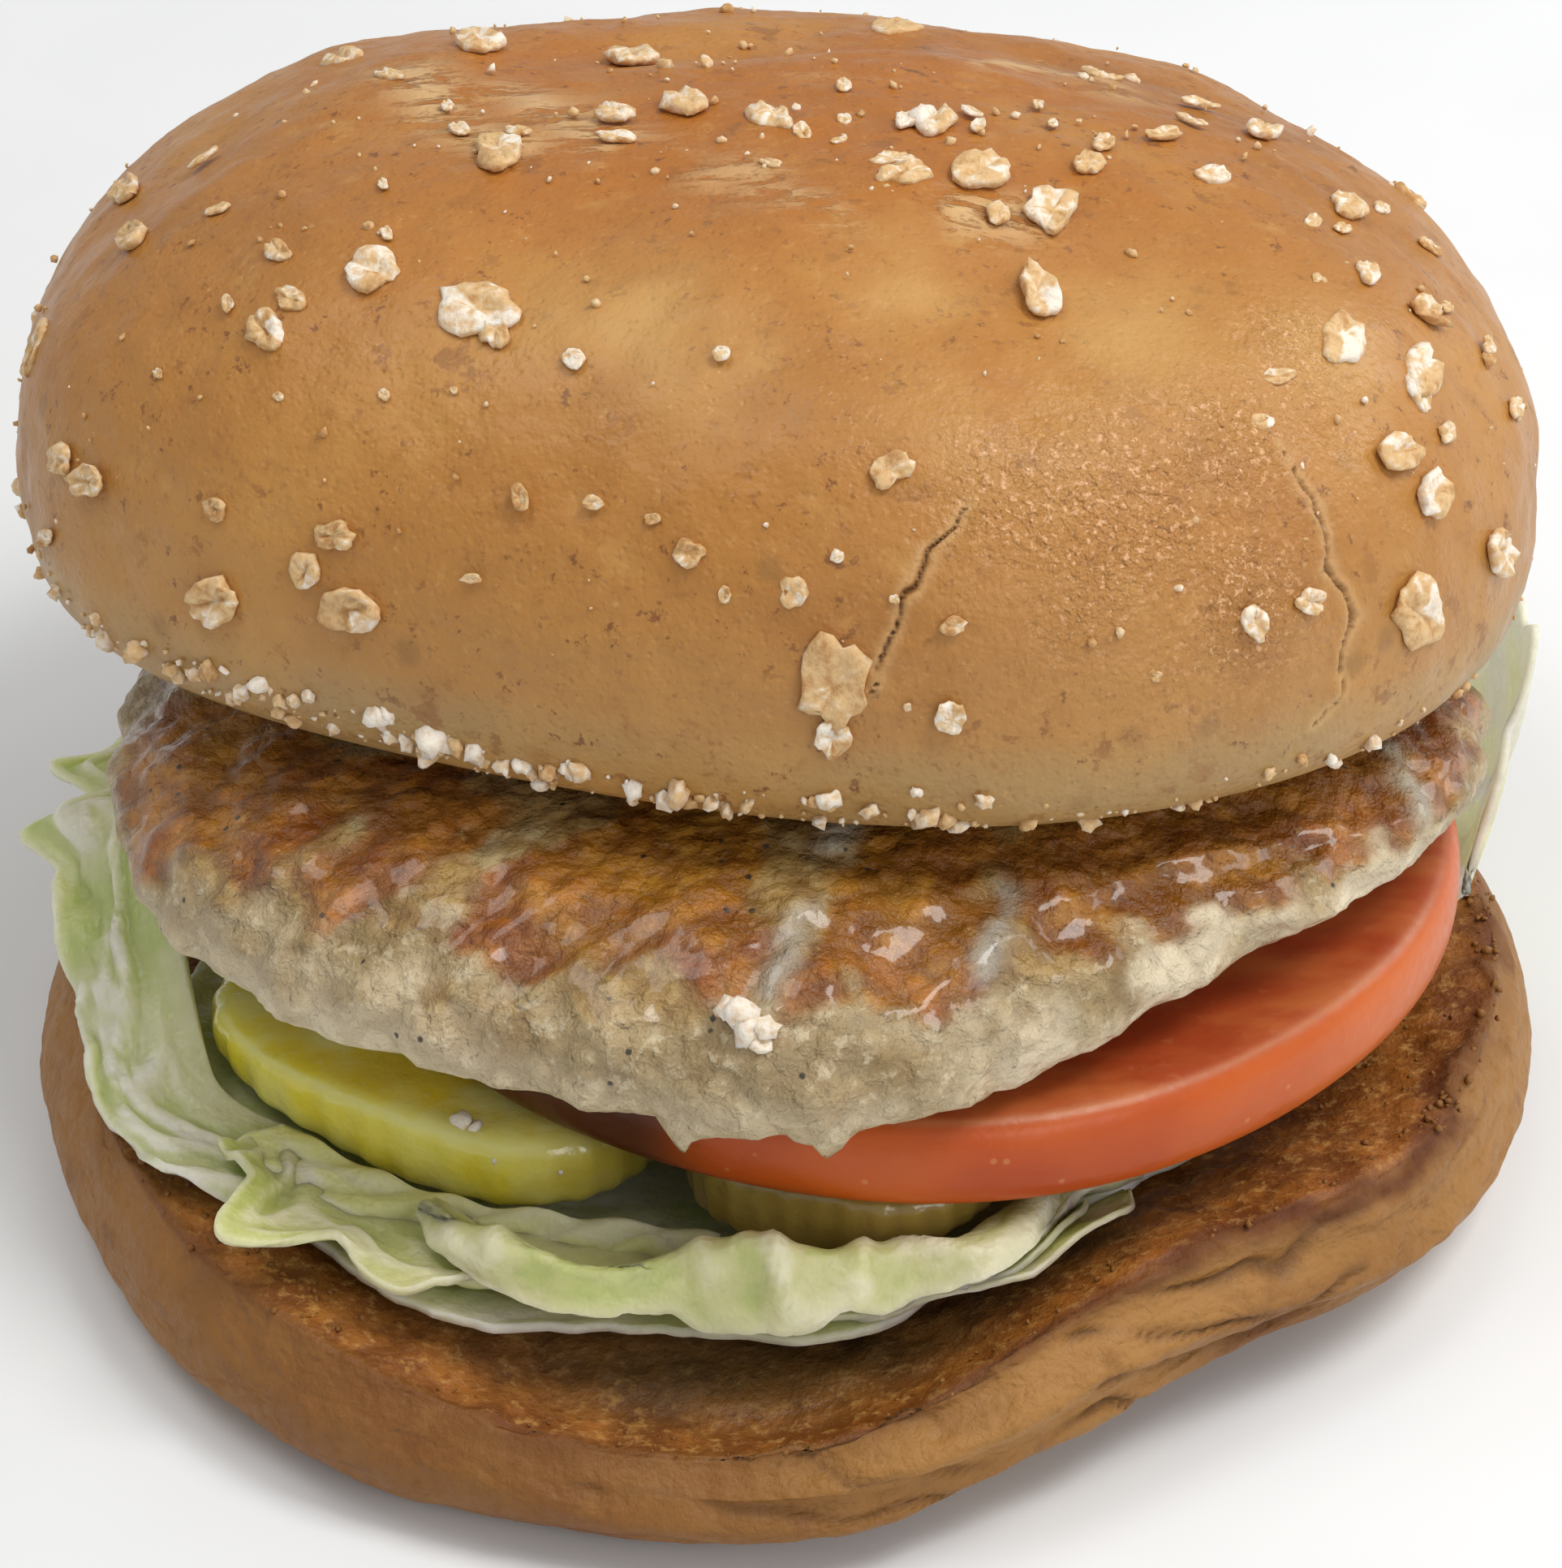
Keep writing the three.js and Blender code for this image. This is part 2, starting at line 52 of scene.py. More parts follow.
# ---- Measures shared with the CAD source ---------------------------------------------------------

AIR = 0.35
LEAF = 0.7
RIB = 1.0

HEEL = dict(
    radius=59.5, middle=9, rim=13.2, shoulder=3.6, foot=9, widest=5.5, crease=0.9, hollow=2.2,
    dip=3.2,
    lobes=[[32, 34, -0.085], [100, 50, 0.035], [-40, 40, 0.03], [-100, 40, 0.02]],
    lifts=[[36, 46, 4.6], [85, 45, 1.2]],
)
SLICES = dict(at=(0, 0, 18.6), lean=5, roll=0)
TOMATO = dict(radius=44.3, depth=1.06, thickness=8, at=(10, 3, 0))
PICKLES = {
    "pickle_left": dict(length=40, width=28, thickness=7, wedge=2.4, at=(-25.2, -16.2), turn=-35),
    "pickle_front": dict(length=25, width=24, thickness=6.6, wedge=2.4, at=(5.8, -29), turn=160),
}
PATTY = dict(
    radius=51.5, thickness=15, edge=9, at=(0, 0, 28.2), lean=6, roll=0, droop=1.5, thinning=2.6,
    lobes=[
        [-66, 30, 0.02], [-26, 30, -0.03], [0, 70, -0.06], [2, 16, 0.02],
        [42, 40, -0.1], [100, 44, 0.1], [-100, 40, 0.03],
    ],
)
CROWN = dict(
    radius=60.5, depth=0.9, height=40.3, belly=8.5, undercut=4.6, hollow=4.3, fullness=0.82,
    at=(-0.7, 17.6, 39.6), lean=11, roll=2,
    lobes=[[-24, 48, -0.085], [40, 44, 0.025], [75, 40, 0.01], [138, 48, 0.055], [-132, 50, 0.1]],
    swell=0.9, swell_length=62,
    crease=dict(depth=1.1, width=5, at=(6, 14), slope=0.15, starts=18, ends=34),
)
# Large rolled oats: [angle, climb, length, width, turn, paleness].
FLAKES = [
    [4, 0.05, 7.4, 5.6, 1.5, 0.5], [50, 0.05, 7, 5, 2.4, 0.4], [-32, 0.51, 6, 4.5, 3, 0.95],
    [-56, 0.76, 6.4, 3.8, 2.7, 0.45], [28, 0.61, 5.6, 3.2, 1.2, 0.5], [60, 0.33, 6, 3.2, 0.3, 0.95],
    [-34, 0.05, 5.2, 3.6, 0.3, 0.35], [-46, 0.02, 5, 3.4, 0.5, 0.3],
    [-45, 0.51, 4.7, 3.5, 0.1, 0.75],
    [40, 0.72, 6, 4, 0.7, 1], [54, 0.42, 6, 3.6, 0.4, 0.35], [54, 0.19, 4.2, 3.2, 0.6, 1],
    [52, 0.26, 4.6, 2.8, 3, 0.4], [63, 0.06, 5, 3.5, 2.5, 0.6], [50, 0.89, 5.4, 3, 0.6, 0.95],
    [36, 0.79, 5.6, 3.6, 0.4, 0.45], [22, 0.8, 4.6, 2.8, 0.1, 0.6], [8, 0.33, 3, 2.6, 0.4, 0.35],
    [-50, 0.38, 3.8, 2.8, 2.7, 0.35], [12, 0.02, 2.8, 2.4, 1.9, 1], [34, 0.1, 2.8, 2.2, 2, 0.85],
    [39, 0.11, 2.8, 2, 2.9, 0.7], [-62, 0.88, 3.6, 2.6, 0.1, 0.8], [-56, 0.93, 5, 3.4, 2.9, 0.6],
    [-8, 0.93, 4.4, 3.4, 1.9, 0.7], [72, 0.67, 3.6, 2.2, 2.7, 0.75], [101, 0.61, 5, 2.6, 2.5, 0.85],
    [84, 0.53, 5, 3, 3, 0.5], [-61, 0.1, 4, 2.6, 0.3, 0.6], [-80, 0.39, 5, 3, 0.1, 0.5],
    [-99, 0.37, 5.4, 3.2, 0.3, 0.6], [-118, 0.6, 5, 3, 0.9, 0.6], [-118, 0.75, 6, 3.6, 0.8, 0.8],
    [-134, 0.86, 6, 4, 0.9, 0.7], [162, 0.75, 6.4, 4.2, 1.7, 0.4],
]
STREWN = dict(tried=12, apart=8, sizes=(5.6, 2.6), spiral=137.5, raised=0.15, thickness=1.3)
# Smaller ones, which the CAD model leaves out.
SMALL_FLAKES = [
    [-46, 0.85, 3.1, 1.6, 0.3, 0.9], [-84, 0.76, 2, 1, 3.1, 0.8], [-71, 0.76, 3.1, 1.4, 3.1, 0.8],
    [56, 0.97, 2.6, 1.3, 0.6, 0.6], [42, 0.9, 3.4, 1.8, 0.7, 0.95], [56, 0.86, 2.6, 1.3, 0.5, 1],
    [22, 0.92, 2.3, 1.1, 1.1, 0.7], [22, 0.83, 3.5, 1.6, 3.1, 0.7], [32, 0.73, 2.8, 1.6, 0.8, 0.5],
    [58, 0.76, 3.6, 2.3, 0.3, 0.4], [69, 0.77, 3.4, 1.6, 0.1, 0.7], [82, 0.73, 4.4, 1.8, 2.5, 0.35],
    [-4, 0.84, 2.1, 1.1, 2.5, 0.6], [86, 0.84, 2.6, 1, 3.1, 0.7], [72, 0.82, 2.2, 0.9, 0.2, 0.6],
    [91, 0.48, 3.6, 1.4, 2.7, 0.9], [72, 0.56, 3.2, 1.4, 3.1, 0.5], [75, 0.53, 2.6, 1.2, 3, 0.6],
    [67, 0.47, 3.6, 1.9, 0.2, 0.5], [58, 0.31, 3.4, 2.2, 1.4, 1], [44, 0.41, 3.4, 1.3, 2.9, 0.3],
    [74, 0.37, 2.6, 1.1, 3, 0.4], [76, 0.29, 3.2, 1.4, 3.1, 0.7], [-50, 0.43, 3, 1.9, 3.1, 0.35],
    [-56, 0.4, 2, 1, 2.6, 0.4], [-48, 0.57, 1.7, 0.9, 2.5, 0.9], [-58, 0.64, 1.9, 0.8, 2.7, 0.8],
    [-20, 0.45, 2, 1.5, 2.7, 0.95], [-6, 0.48, 1.5, 1.3, 0.2, 1], [-36, 0.35, 1.1, 0.9, 2.9, 0.6],
    [-29, 0.48, 3.2, 2.2, 2.2, 0.6], [-36, 0.14, 3.1, 2, 0.2, 0.1],
    [-47, 0.13, 2.1, 1.8, 3.1, 0.15],
    [-66, 0.1, 3.4, 2.3, 0.3, 0.5], [-38, 0.085, 2.7, 2.2, 1.3, 0.35],
    [-24, 0.12, 1.8, 0.8, 0.2, 0.8],
    [-15, 0.25, 1.7, 1, 0.1, 0.5], [-7, 0.2, 2.6, 2, 0.1, 0.1], [-4, 0.15, 1.3, 1.1, 1.6, 0.7],
    [1, 0.16, 2.4, 2, 1.5, 0.4], [4, 0.21, 1.1, 1, 0.8, 0.8], [4, 0, 3.2, 2.6, 1.3, 0.95],
    [40, 0.36, 2.2, 1.5, 0.1, 0.3], [-10, 0.24, 1.2, 0.9, 0.1, 0.2], [-21, 0.24, 2, 1.5, 1.9, 0.05],
    [-45, 0.3, 0.9, 0.7, 2.8, 0.5], [8, 0.16, 0.8, 0.7, 0.3, 0.7], [59, 0.5, 1.6, 0.7, 0.3, 0.3],
    [59, 0.25, 2.5, 1.5, 0.1, 0.6], [74, 0.2, 3, 1.7, 0, 0.7], [-58, 0.28, 1.2, 0.7, 3, 0.4],
    [-30, 0.38, 0.7, 0.6, 2.5, 0.5], [9, 0.03, 0.7, 0.6, 1.6, 0.6], [-68, 0, 3, 1.4, 0.5, 0.7],
    [12, 0.13, 2, 1.4, 0.1, 0.1], [26, 0.055, 1.3, 1, 2.8, 0.1], [-64, 0.8, 2.4, 1.4, 0.4, 0.6],
    [4, 0.9, 2.8, 1.5, 1.8, 0.75], [14, 0.88, 1.8, 1, 0.6, 0.6], [66, 0.88, 2.4, 1.2, 1, 0.9],
    [96, 0.7, 3, 1.4, 0.6, 0.6], [110, 0.66, 3.2, 1.6, 1.4, 0.7], [124, 0.72, 3.4, 2, 0.2, 0.5],
    [-100, 0.7, 3.4, 1.6, 0.9, 0.7], [-92, 0.5, 2.6, 1.4, 2, 0.6], [-72, 0.5, 2.2, 1.2, 1, 0.5],
]


# ---- Shape helpers -------------------------------------------------------------------------------

def lobe(angle, middle, width):
    """1 at the middle of a lobe, falling smoothly to 0 at its width to either side."""
    turn = (angle - middle + 180) % 360 - 180
    return np.where(np.abs(turn) < width, 0.5 + 0.5 * np.cos(np.pi * turn / width), 0.0)


def lobes(angle, listed):
    return sum(size * lobe(angle, middle, width) for middle, width, size in listed)


def hump(value, middle, width):
    """1 where the value is in the middle, fading to 0 at about twice the width to either side."""
    return np.exp(-(((value - middle) / width) ** 2))


def smoothstep(value, low, high):
    share = np.clip((value - low) / (high - low), 0, 1)
    return share * share * (3 - 2 * share)


def lerp(a, b, share):
    return a + (b - a) * share


def angle_of(x, y):
    return np.degrees(np.arctan2(x, -y))


def unevenness(x, y, z, wavelength, phase):
    """A smooth unevenness of the given wavelength, between about -1 and 1."""
    k = 2 * np.pi / wavelength
    wide = np.sin(k * (x + 0.4 * y) + phase) * np.cos(k * (y - 0.3 * x + 0.5 * z) + 2.1 * phase)
    fine = np.sin(k * 1.7 * (x - 0.6 * y + 0.4 * z) + 3.7 * phase)
    return (wide + fine * np.cos(k * 1.3 * (z + 0.8 * y) - phase)) / 1.6


def grain(points, wavelength, seed=0, octaves=3, stretch=(1, 1, 1)):
    """Irregular fractal relief at each point, about -0.7 to 0.7."""
    shift = Vector((17.3, 5.1, 9.7)) * seed
    spots = points * (np.array(stretch) / wavelength)
    return np.array([noise.fractal(Vector(spot) + shift, 1.0, 2.0, octaves) for spot in spots])


def around(angle, radius, height):
    turn = np.radians(angle)
    return np.stack([radius * np.sin(turn), -radius * np.cos(turn), height + 0 * turn], -1)


def settled(points, at, lean=0, roll=0, **_):
    """Puts points in place, leaning back (front edge up) and rolled (right side down)."""
    back = Matrix.Rotation(math.radians(-lean), 3, "X")
    aside = Matrix.Rotation(math.radians(roll), 3, "Y")
    return points @ np.array(back @ aside).T + np.array(at)


def eased(profile, step):
    """The profile's line in even steps, with its corners rounded."""
    line = np.array(profile, float)
    length = np.concatenate([[0], np.cumsum(np.hypot(*np.diff(line, axis=0).T))])
    fine = np.linspace(0, length[-1], int(length[-1] / step) + 2)
    line = np.stack([np.interp(fine, length, line[:, k]) for k in (0, 1)], 1)
    for _ in range(3):
        line[1:-1] = (line[:-2] + 2 * line[1:-1] + line[2:]) / 4
    return line


def turned(profile, steps):
    """A closed skin: a line of [radius, height] spun round the Z axis."""
    skin = bmesh.new()
    line = [skin.verts.new((radius, 0, height)) for radius, height in profile]
    edges = [skin.edges.new(pair) for pair in zip(line, line[1:])]
    bmesh.ops.spin(
        skin, geom=line + edges, cent=(0, 0, 0), axis=(0, 0, 1),
        angle=2 * math.pi, steps=steps, use_merge=True,
    )
    bmesh.ops.remove_doubles(skin, verts=skin.verts, dist=1e-4)
    bmesh.ops.recalc_face_normals(skin, faces=skin.faces)
    return skin


def meshed(name, skin):
    mesh = bpy.data.meshes.new(name)
    skin.to_mesh(mesh)
    skin.free()
    return mesh


def points_of(mesh):
    flat = np.empty(len(mesh.vertices) * 3, np.float32)
    mesh.vertices.foreach_get("co", flat)
    return flat.reshape(-1, 3).astype(float)


def move_to(mesh, points):
    mesh.vertices.foreach_set("co", points.astype(np.float32).ravel())
    mesh.update()


def normals_of(mesh):
    flat = np.empty(len(mesh.vertices) * 3, np.float32)
    mesh.vertex_normals.foreach_get("vector", flat)
    return flat.reshape(-1, 3).astype(float)


def raise_by(mesh, heights):
    """Moves each point out along its normal by its height."""
    move_to(mesh, points_of(mesh) + normals_of(mesh) * heights[:, None])


def mark(mesh, name, values):
    """Keeps one number for each point, for the material to read."""
    layer = mesh.attributes.new(name, "FLOAT", "POINT")
    layer.data.foreach_set("value", np.asarray(values, np.float32))


def near_line(points, line, width):
    """1 on a line through the given points, fading to 0 at about twice its width."""
    line = np.array(line, float)
    length = np.concatenate([[0], np.cumsum(np.linalg.norm(np.diff(line, axis=0), axis=1))])
    count = int(length[-1] / 0.25) + 2
    fine = np.linspace(0, length[-1], count)
    spots = np.stack([np.interp(fine, length, line[:, k]) for k in range(3)], 1)
    tree = KDTree(count)
    for i, spot in enumerate(spots):
        tree.insert(spot, i)
    tree.balance()
    found = [tree.find(point) for point in points]
    distance = np.array([near[2] for near in found])
    share = np.array([near[1] for near in found]) / (count - 1)
    return hump(distance, 0, width), distance, share


def shown(name, mesh, finish, node=None, thickness=None):
    """Makes a mesh in millimetres a smooth piece of the burger, in metres."""
    move_to(mesh, points_of(mesh) * MM)
    mesh.polygons.foreach_set("use_smooth", [True] * len(mesh.polygons))
    piece = bpy.data.objects.new(name, mesh)
    bpy.context.scene.collection.objects.link(piece)
    mesh.materials.append(finish)
    if thickness:
        skin = piece.modifiers.new("leaf_thickness", "SOLIDIFY")
        skin.thickness = thickness * MM
        skin.offset = 0
    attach(piece, "root")
    if node:
        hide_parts(node)


# ---- Finishes ------------------------------------------------------------------------------------

def colour(code):
    """Linear RGBA from six hex digits of screen colour."""
    parts = [int(code[i:i + 2], 16) / 255 for i in (0, 2, 4)]
    return [c / 12.92 if c <= 0.04045 else ((c + 0.055) / 1.055) ** 2.4 for c in parts] + [1]


class Finish:
    """One material, put together from a few kinds of node."""

    def __init__(self, name):
        self.material = bpy.data.materials.new(name)
        self.material.use_nodes = True
        self.tree = self.material.node_tree
        self.tree.nodes.clear()
        self.place = self.node("ShaderNodeTexCoord").outputs["Object"]

    def node(self, kind, inputs=None, **settings):
        """A node with its settings, and with values or other nodes' outputs fed to its inputs."""
        node = self.tree.nodes.new(kind)
        for key, value in settings.items():
            setattr(node, key, value)
        for key, value in (inputs or {}).items():
            if isinstance(value, bpy.types.NodeSocket):
                self.tree.links.new(value, node.inputs[key])
            elif value is not None:
                node.inputs[key].default_value = value
        return node

    def stretched(self, scale):
        """The place in the object, drawn out along its axes."""
        inputs = {"Vector": self.place, "Scale": scale}
        return self.node("ShaderNodeMapping", inputs).outputs["Vector"]

    def cloud(self, wavelength, detail=3, roughness=0.55, distortion=0, place=None):
        """Noise with features of that many millimetres, 0 to 1."""
        return self.node("ShaderNodeTexNoise", {
            "Vector": place or self.place, "Scale": 1000 / wavelength, "Detail": detail,
            "Roughness": roughness, "Distortion": distortion,
        }).outputs["Fac"]

    def cells(self, wavelength, place=None):
        """How far it is to the middle of the nearest cell, of that many millimetres."""
        inputs = {"Vector": place or self.place, "Scale": 1000 / wavelength}
        return self.node("ShaderNodeTexVoronoi", inputs).outputs["Distance"]

    def warped(self, wavelength, millimetres):
        """The place in the object, pushed about by noise."""
        inputs = {"Vector": self.place, "Scale": 1000 / wavelength}
        noisy = self.node("ShaderNodeTexNoise", inputs).outputs["Color"]
        inputs = {0: noisy, 1: (millimetres * MM,) * 3, 2: self.place}
        return self.node("ShaderNodeVectorMath", inputs, operation="MULTIPLY_ADD").outputs["Vector"]

    def own(self, name):
        """A number that the mesh carries."""
        return self.node("ShaderNodeAttribute", attribute_name=name).outputs["Fac"]

    def level(self, value, low, high, start=0.0, end=1.0):
        """Smoothly from start, where the value is low, to end, where it is high."""
        inputs = {
            "Value": value, "From Min": low, "From Max": high, "To Min": start, "To Max": end,
        }
        node = self.node("ShaderNodeMapRange", inputs, interpolation_type="SMOOTHSTEP")
        return node.outputs["Result"]

    def sum(self, a, b, operation="ADD"):
        return self.node("ShaderNodeMath", {0: a, 1: b}, operation=operation).outputs[0]

    def times(self, a, b):
        return self.sum(a, b, "MULTIPLY")

    def blend(self, share, a, b):
        a, b = (colour(shade) if isinstance(shade, str) else shade for shade in (a, b))
        return self.node("ShaderNodeMix", {0: share, 6: a, 7: b}, data_type="RGBA").outputs[2]

    def layered(self, base, *layers):
        """Lays shades over the base. Each is (share, shade), or (driver, low, high, most, shade)
        for one that shows up to its most as its driver goes from low to high."""
        for *share, shade in layers:
            share = share[0] if len(share) == 1 else self.level(*share[:3], 0, share[3])
            base = self.blend(share, base, shade)
        return base

    def bumps(self, *layers):
        """Relief in layers: the (height, millimetres) of each."""
        normal = None
        for height, millimetres in layers:
            inputs = {
                "Height": height, "Distance": millimetres * MM, "Strength": 1, "Normal": normal,
            }
            normal = self.node("ShaderNodeBump", inputs).outputs["Normal"]
        return normal

    def surface(self, base, roughness, normal=None, specular=0.5, soft=(), coat=()):
        """The shader: soft is (share, radii, depth) of light let in, coat is (share, roughness)."""
        inputs = {"Base Color": base, "Roughness": roughness, "Normal": normal}
        inputs["Specular IOR Level"] = specular
        inputs |= zip(("Subsurface Weight", "Subsurface Radius", "Subsurface Scale"), soft)
        inputs |= zip(("Coat Weight", "Coat Roughness"), coat)
        shader = self.node("ShaderNodeBsdfPrincipled", inputs)
        self.node("ShaderNodeOutputMaterial", {"Surface": shader.outputs["BSDF"]})
        return self.material


def crust_finish():
    """Baked bun crust: golden brown on top, paler below, with fine bran specks."""
    f = Finish("baked_crust")
    climb, patches = f.own("climb"), f.cloud(26, 3, 0.5)
    mottle, fine = f.cloud(6, 4, 0.6), f.cloud(1.4, 4, 0.65)
    specks = f.level(f.cloud(1.5, 3, 0.75), 0.6, 0.68)
    bran = f.times(specks, f.level(f.cloud(8, 2), 0.4, 0.6, 0.15, 0.8))
    spots = f.level(f.cloud(3.4, 4, 0.7), 0.58, 0.66)
    freckles = f.times(spots, f.level(f.cloud(14, 2), 0.42, 0.6, 0.1, 0.65))
    blots = f.times(f.level(f.cells(6.5), 0.24, 0.08), f.level(f.cloud(17, 1), 0.44, 0.56, 0, 0.5))
    streaks = f.cloud(1.9, 4, 0.7, 0.4, f.stretched((0.34, 1, 1)))
    rubbed = f.times(f.own("scuff"), f.level(streaks, 0.42, 0.54))
    glint = f.times(f.own("glint"), f.level(f.cloud(0.55, 2, 0.7), 0.54, 0.68))
    base = f.layered(
        "aa8854", (climb, -0.5, 0.32, 1, "b17836"), (climb, 0.3, 0.85, 1, "ae6f2e"),
        (climb, 0.62, 0.9, 0.6, "ac661f"), (patches, 0.5, 0.7, 0.55, "c08c47"),
        (patches, 0.48, 0.3, 0.6, "965f27"), (mottle, 0.56, 0.74, 0.4, "945e27"),
        (mottle, 0.42, 0.28, 0.4, "c2924f"), (fine, 0.56, 0.74, 0.4, "945e28"),
        (fine, 0.44, 0.28, 0.3, "c69755"), (bran, "774822"), (freckles, "8c5a2b"),
        (f.cloud(1.2, 3, 0.75), 0.64, 0.74, 0.45, "cf9f66"),
        # Painted light in these layers: pale highlight spots, pale glint specks on the grain, and a
        # dark crack colour as shade in its groove.
        (f.times(blots, f.level(climb, 0.6, 0.1)), "876132"), (f.own("sheen"), "d0a664"),
        (rubbed, "d4ae7a"), (glint, "dba878"), (f.own("lip"), "d9b37c"), (f.own("crack"), "64401f"),
    )
    normal = f.bumps(
        (f.level(f.cells(0.8), 0.05, 0.4), 0.05), (f.cloud(0.8, 2, 0.6), 0.14),
        (f.times(f.own("glint"), f.cloud(0.8, 2, 0.7)), 0.5), (rubbed, 0.3), (mottle, 0.35),
    )
    rough = f.level(f.cloud(5, 3), 0.35, 0.65, 0.38, 0.54)
    rough = f.sum(rough, f.times(glint, 0.2), "SUBTRACT")
    return f.surface(base, rough, normal, 0.4, (0.06, (1, 0.7, 0.45), 0.002), (0.1, 0.35))


def oat_finish():
    """Rolled oat: beige, with floury white where it is torn."""
    f = Finish("rolled_oat")
    fine = f.cloud(0.7, 3, 0.6)
    pale = f.sum(f.own("paleness"), f.level(fine, 0.35, 0.65, -0.15, 0.15))
    base = f.layered(
        "b98852", (pale, -0.1, 0.5, 1, "dab684"), (pale, 0.45, 1.05, 1, "f3e9da"),
        (f.cloud(1.3, 2), 0.56, 0.72, 0.3, "bd9058"),
    )
    return f.surface(base, 0.6, f.bumps((fine, 0.2)), 0.3, (0.15, (1, 0.9, 0.8), 0.001))


def patty_finish():
    """Griddled turkey: pale coarse meat with a wet top, browned in patches."""
    f = Finish("griddled_turkey")
    sear, red, top = f.own("sear"), f.own("red"), f.own("top")
    lumps, fine, flecks = f.cloud(4.5, 4, 0.6), f.cloud(1.1, 4, 0.65), f.cloud(1.6, 3, 0.7)
    grains = f.cells(2.1, place=f.warped(1.4, 0.5))
    gaps = f.level(grains, 0.42, 0.75)
    meat = f.layered(
        "8f774c", (lumps, 0.35, 0.65, 1, "ae966a"), (f.cloud(9, 3), 0.5, 0.7, 0.6, "a17e4e"),
        (flecks, 0.52, 0.68, 0.75, "d4c4a2"), (flecks, 0.44, 0.3, 0.6, "7c6641"),
        # The pale patches on the sides are partly painted light, lighter where the lamps shine on
        # them.
        (f.own("creamy"), "dfcfb0"), (f.times(gaps, 0.25), "80694a"),
    )
    tan = f.layered(
        "95733a", (lumps, 0.36, 0.66, 1, "bb9858"), (f.cloud(7, 3), 0.5, 0.64, 0.65, "bdae86"),
    )
    gold = f.layered("905d18", (lumps, 0.36, 0.66, 1, "bb852f"))
    brown = f.layered("7f4315", (lumps, 0.4, 0.66, 1, "b06b29"))
    char = f.times(f.times(sear, red), f.level(f.cloud(2.6, 3), 0.58, 0.72, 0, 0.4))
    pepper = f.times(f.level(f.cells(2.6), 0.13, 0.07), f.level(f.cloud(11, 1), 0.5, 0.56, 0, 0.9))
    base = f.layered(
        meat, (f.times(top, f.level(fine, 0.2, 0.7, 1, 0.8)), tan),
        (sear, f.blend(red, gold, brown)), (f.times(f.own("seam"), top), "6b3511"),
        (f.times(f.times(gaps, top), 0.4), "643a16"), (char, "4f260c"),
        (f.times(top, f.level(flecks, 0.6, 0.75, 0, 0.35)), "d2b176"),
        (f.own("fat"), "b0aca0"), (pepper, "2f2c29"),
    )
    normal = f.bumps(
        (fine, 0.5), (flecks, 0.45), (f.level(grains, 0.1, 0.75, 1, 0), 0.32),
        (f.times(top, f.cloud(2.6, 2, 0.5)), 0.6),
    )
    rough = f.sum(f.level(fine, 0.35, 0.7, 0.34, 0.56), f.times(top, 0.12), "SUBTRACT")
    coat = (f.level(top, 0, 1, 0.08, 0.6), 0.1)
    return f.surface(base, rough, normal, 0.45, (0.15, (1, 0.8, 0.6), 0.003), coat)


def tomato_finish():
    """Tomato: wet orange-red flesh with pale streaks, and a smooth skin, with painted shadow under
    the patty and painted light on the right of the skin.
    """
    f = Finish("tomato")
    streaks = f.cloud(9, 3, 0.55, place=f.stretched((0.6, 1.4, 2)))
    fine = f.cloud(1.2, 2, 0.6)
    flesh = f.layered(
        "a0401b", (streaks, 0.36, 0.66, 1, "b5602f"), (fine, 0.6, 0.78, 0.25, "c57d48"),
    )
    rind = f.layered(
        # The skin is painted a lighter orange on its lit right side.
        "ae430b", (f.cloud(18, 2), 0.35, 0.65, 1, "c05616"), (f.own("ripe"), "cf6a2a"),
        (f.cells(3.4), 0.1, 0.05, 0.4, "d0935f"),
    )
    base = f.layered(
        # The last layer is painted shadow, dark where the slice lies under the patty.
        flesh, (f.own("skin"), rind), (f.own("edge"), "c58353"), (f.own("soaked"), "481c0a"),
    )
    rough, normal = f.level(fine, 0.3, 0.7, 0.34, 0.46), f.bumps((fine, 0.06), (streaks, 0.25))
    return f.surface(base, rough, normal, 0.35, (0.25, (1, 0.35, 0.2), 0.003), (0.08, 0.2))


def pickle_finish(name, deep, light, dim):
    """Pickled gherkin: translucent, wet, darker at the rind, with a painted highlight along its
    upper rim and painted shade where it lies in shadow.
    """
    f = Finish(name)
    flesh, fine = f.cloud(8, 3, 0.5), f.cloud(1.3, 2, 0.6)
    base = f.layered(
        deep, (flesh, 0.35, 0.65, 1, light), (fine, 0.58, 0.75, 0.4, light),
        # The rim layer is a painted highlight along the upper edge; the last layer is painted
        # shade.
        (f.own("rind"), deep), (f.own("rim"), light), (f.own("dim"), dim),
    )
    normal = f.bumps((fine, 0.22), (flesh, 0.5))
    return f.surface(base, 0.2, normal, 0.5, (0.85, (1, 0.9, 0.35), 0.006), (0.6, 0.07))


def lettuce_finish(name, pale, green, rib, depth=0.004, radii=(0.85, 1, 0.5)):
    """Lettuce: a pale, translucent leaf, painted whitish on its fold crests and greener between
    them, as highlight and shade on the folds.
    """
    f = Finish(name)
    fine = f.cloud(1.6, 3, 0.6)
    base = f.layered(
        pale, (f.cloud(12, 3, 0.55), 0.36, 0.64, 1, green), (f.own("valley"), green),
        (fine, 0.5, 0.75, 0.35, pale), (f.own("ridge"), rib), (f.own("margin"), rib),
    )
    rough = f.level(fine, 0.3, 0.7, 0.32, 0.48)
    normal = f.bumps((fine, 0.15), (f.cloud(3.2, 3, 0.6), 0.7))
    return f.surface(base, rough, normal, 0.4, (0.85, radii, depth), (0.12, 0.25))


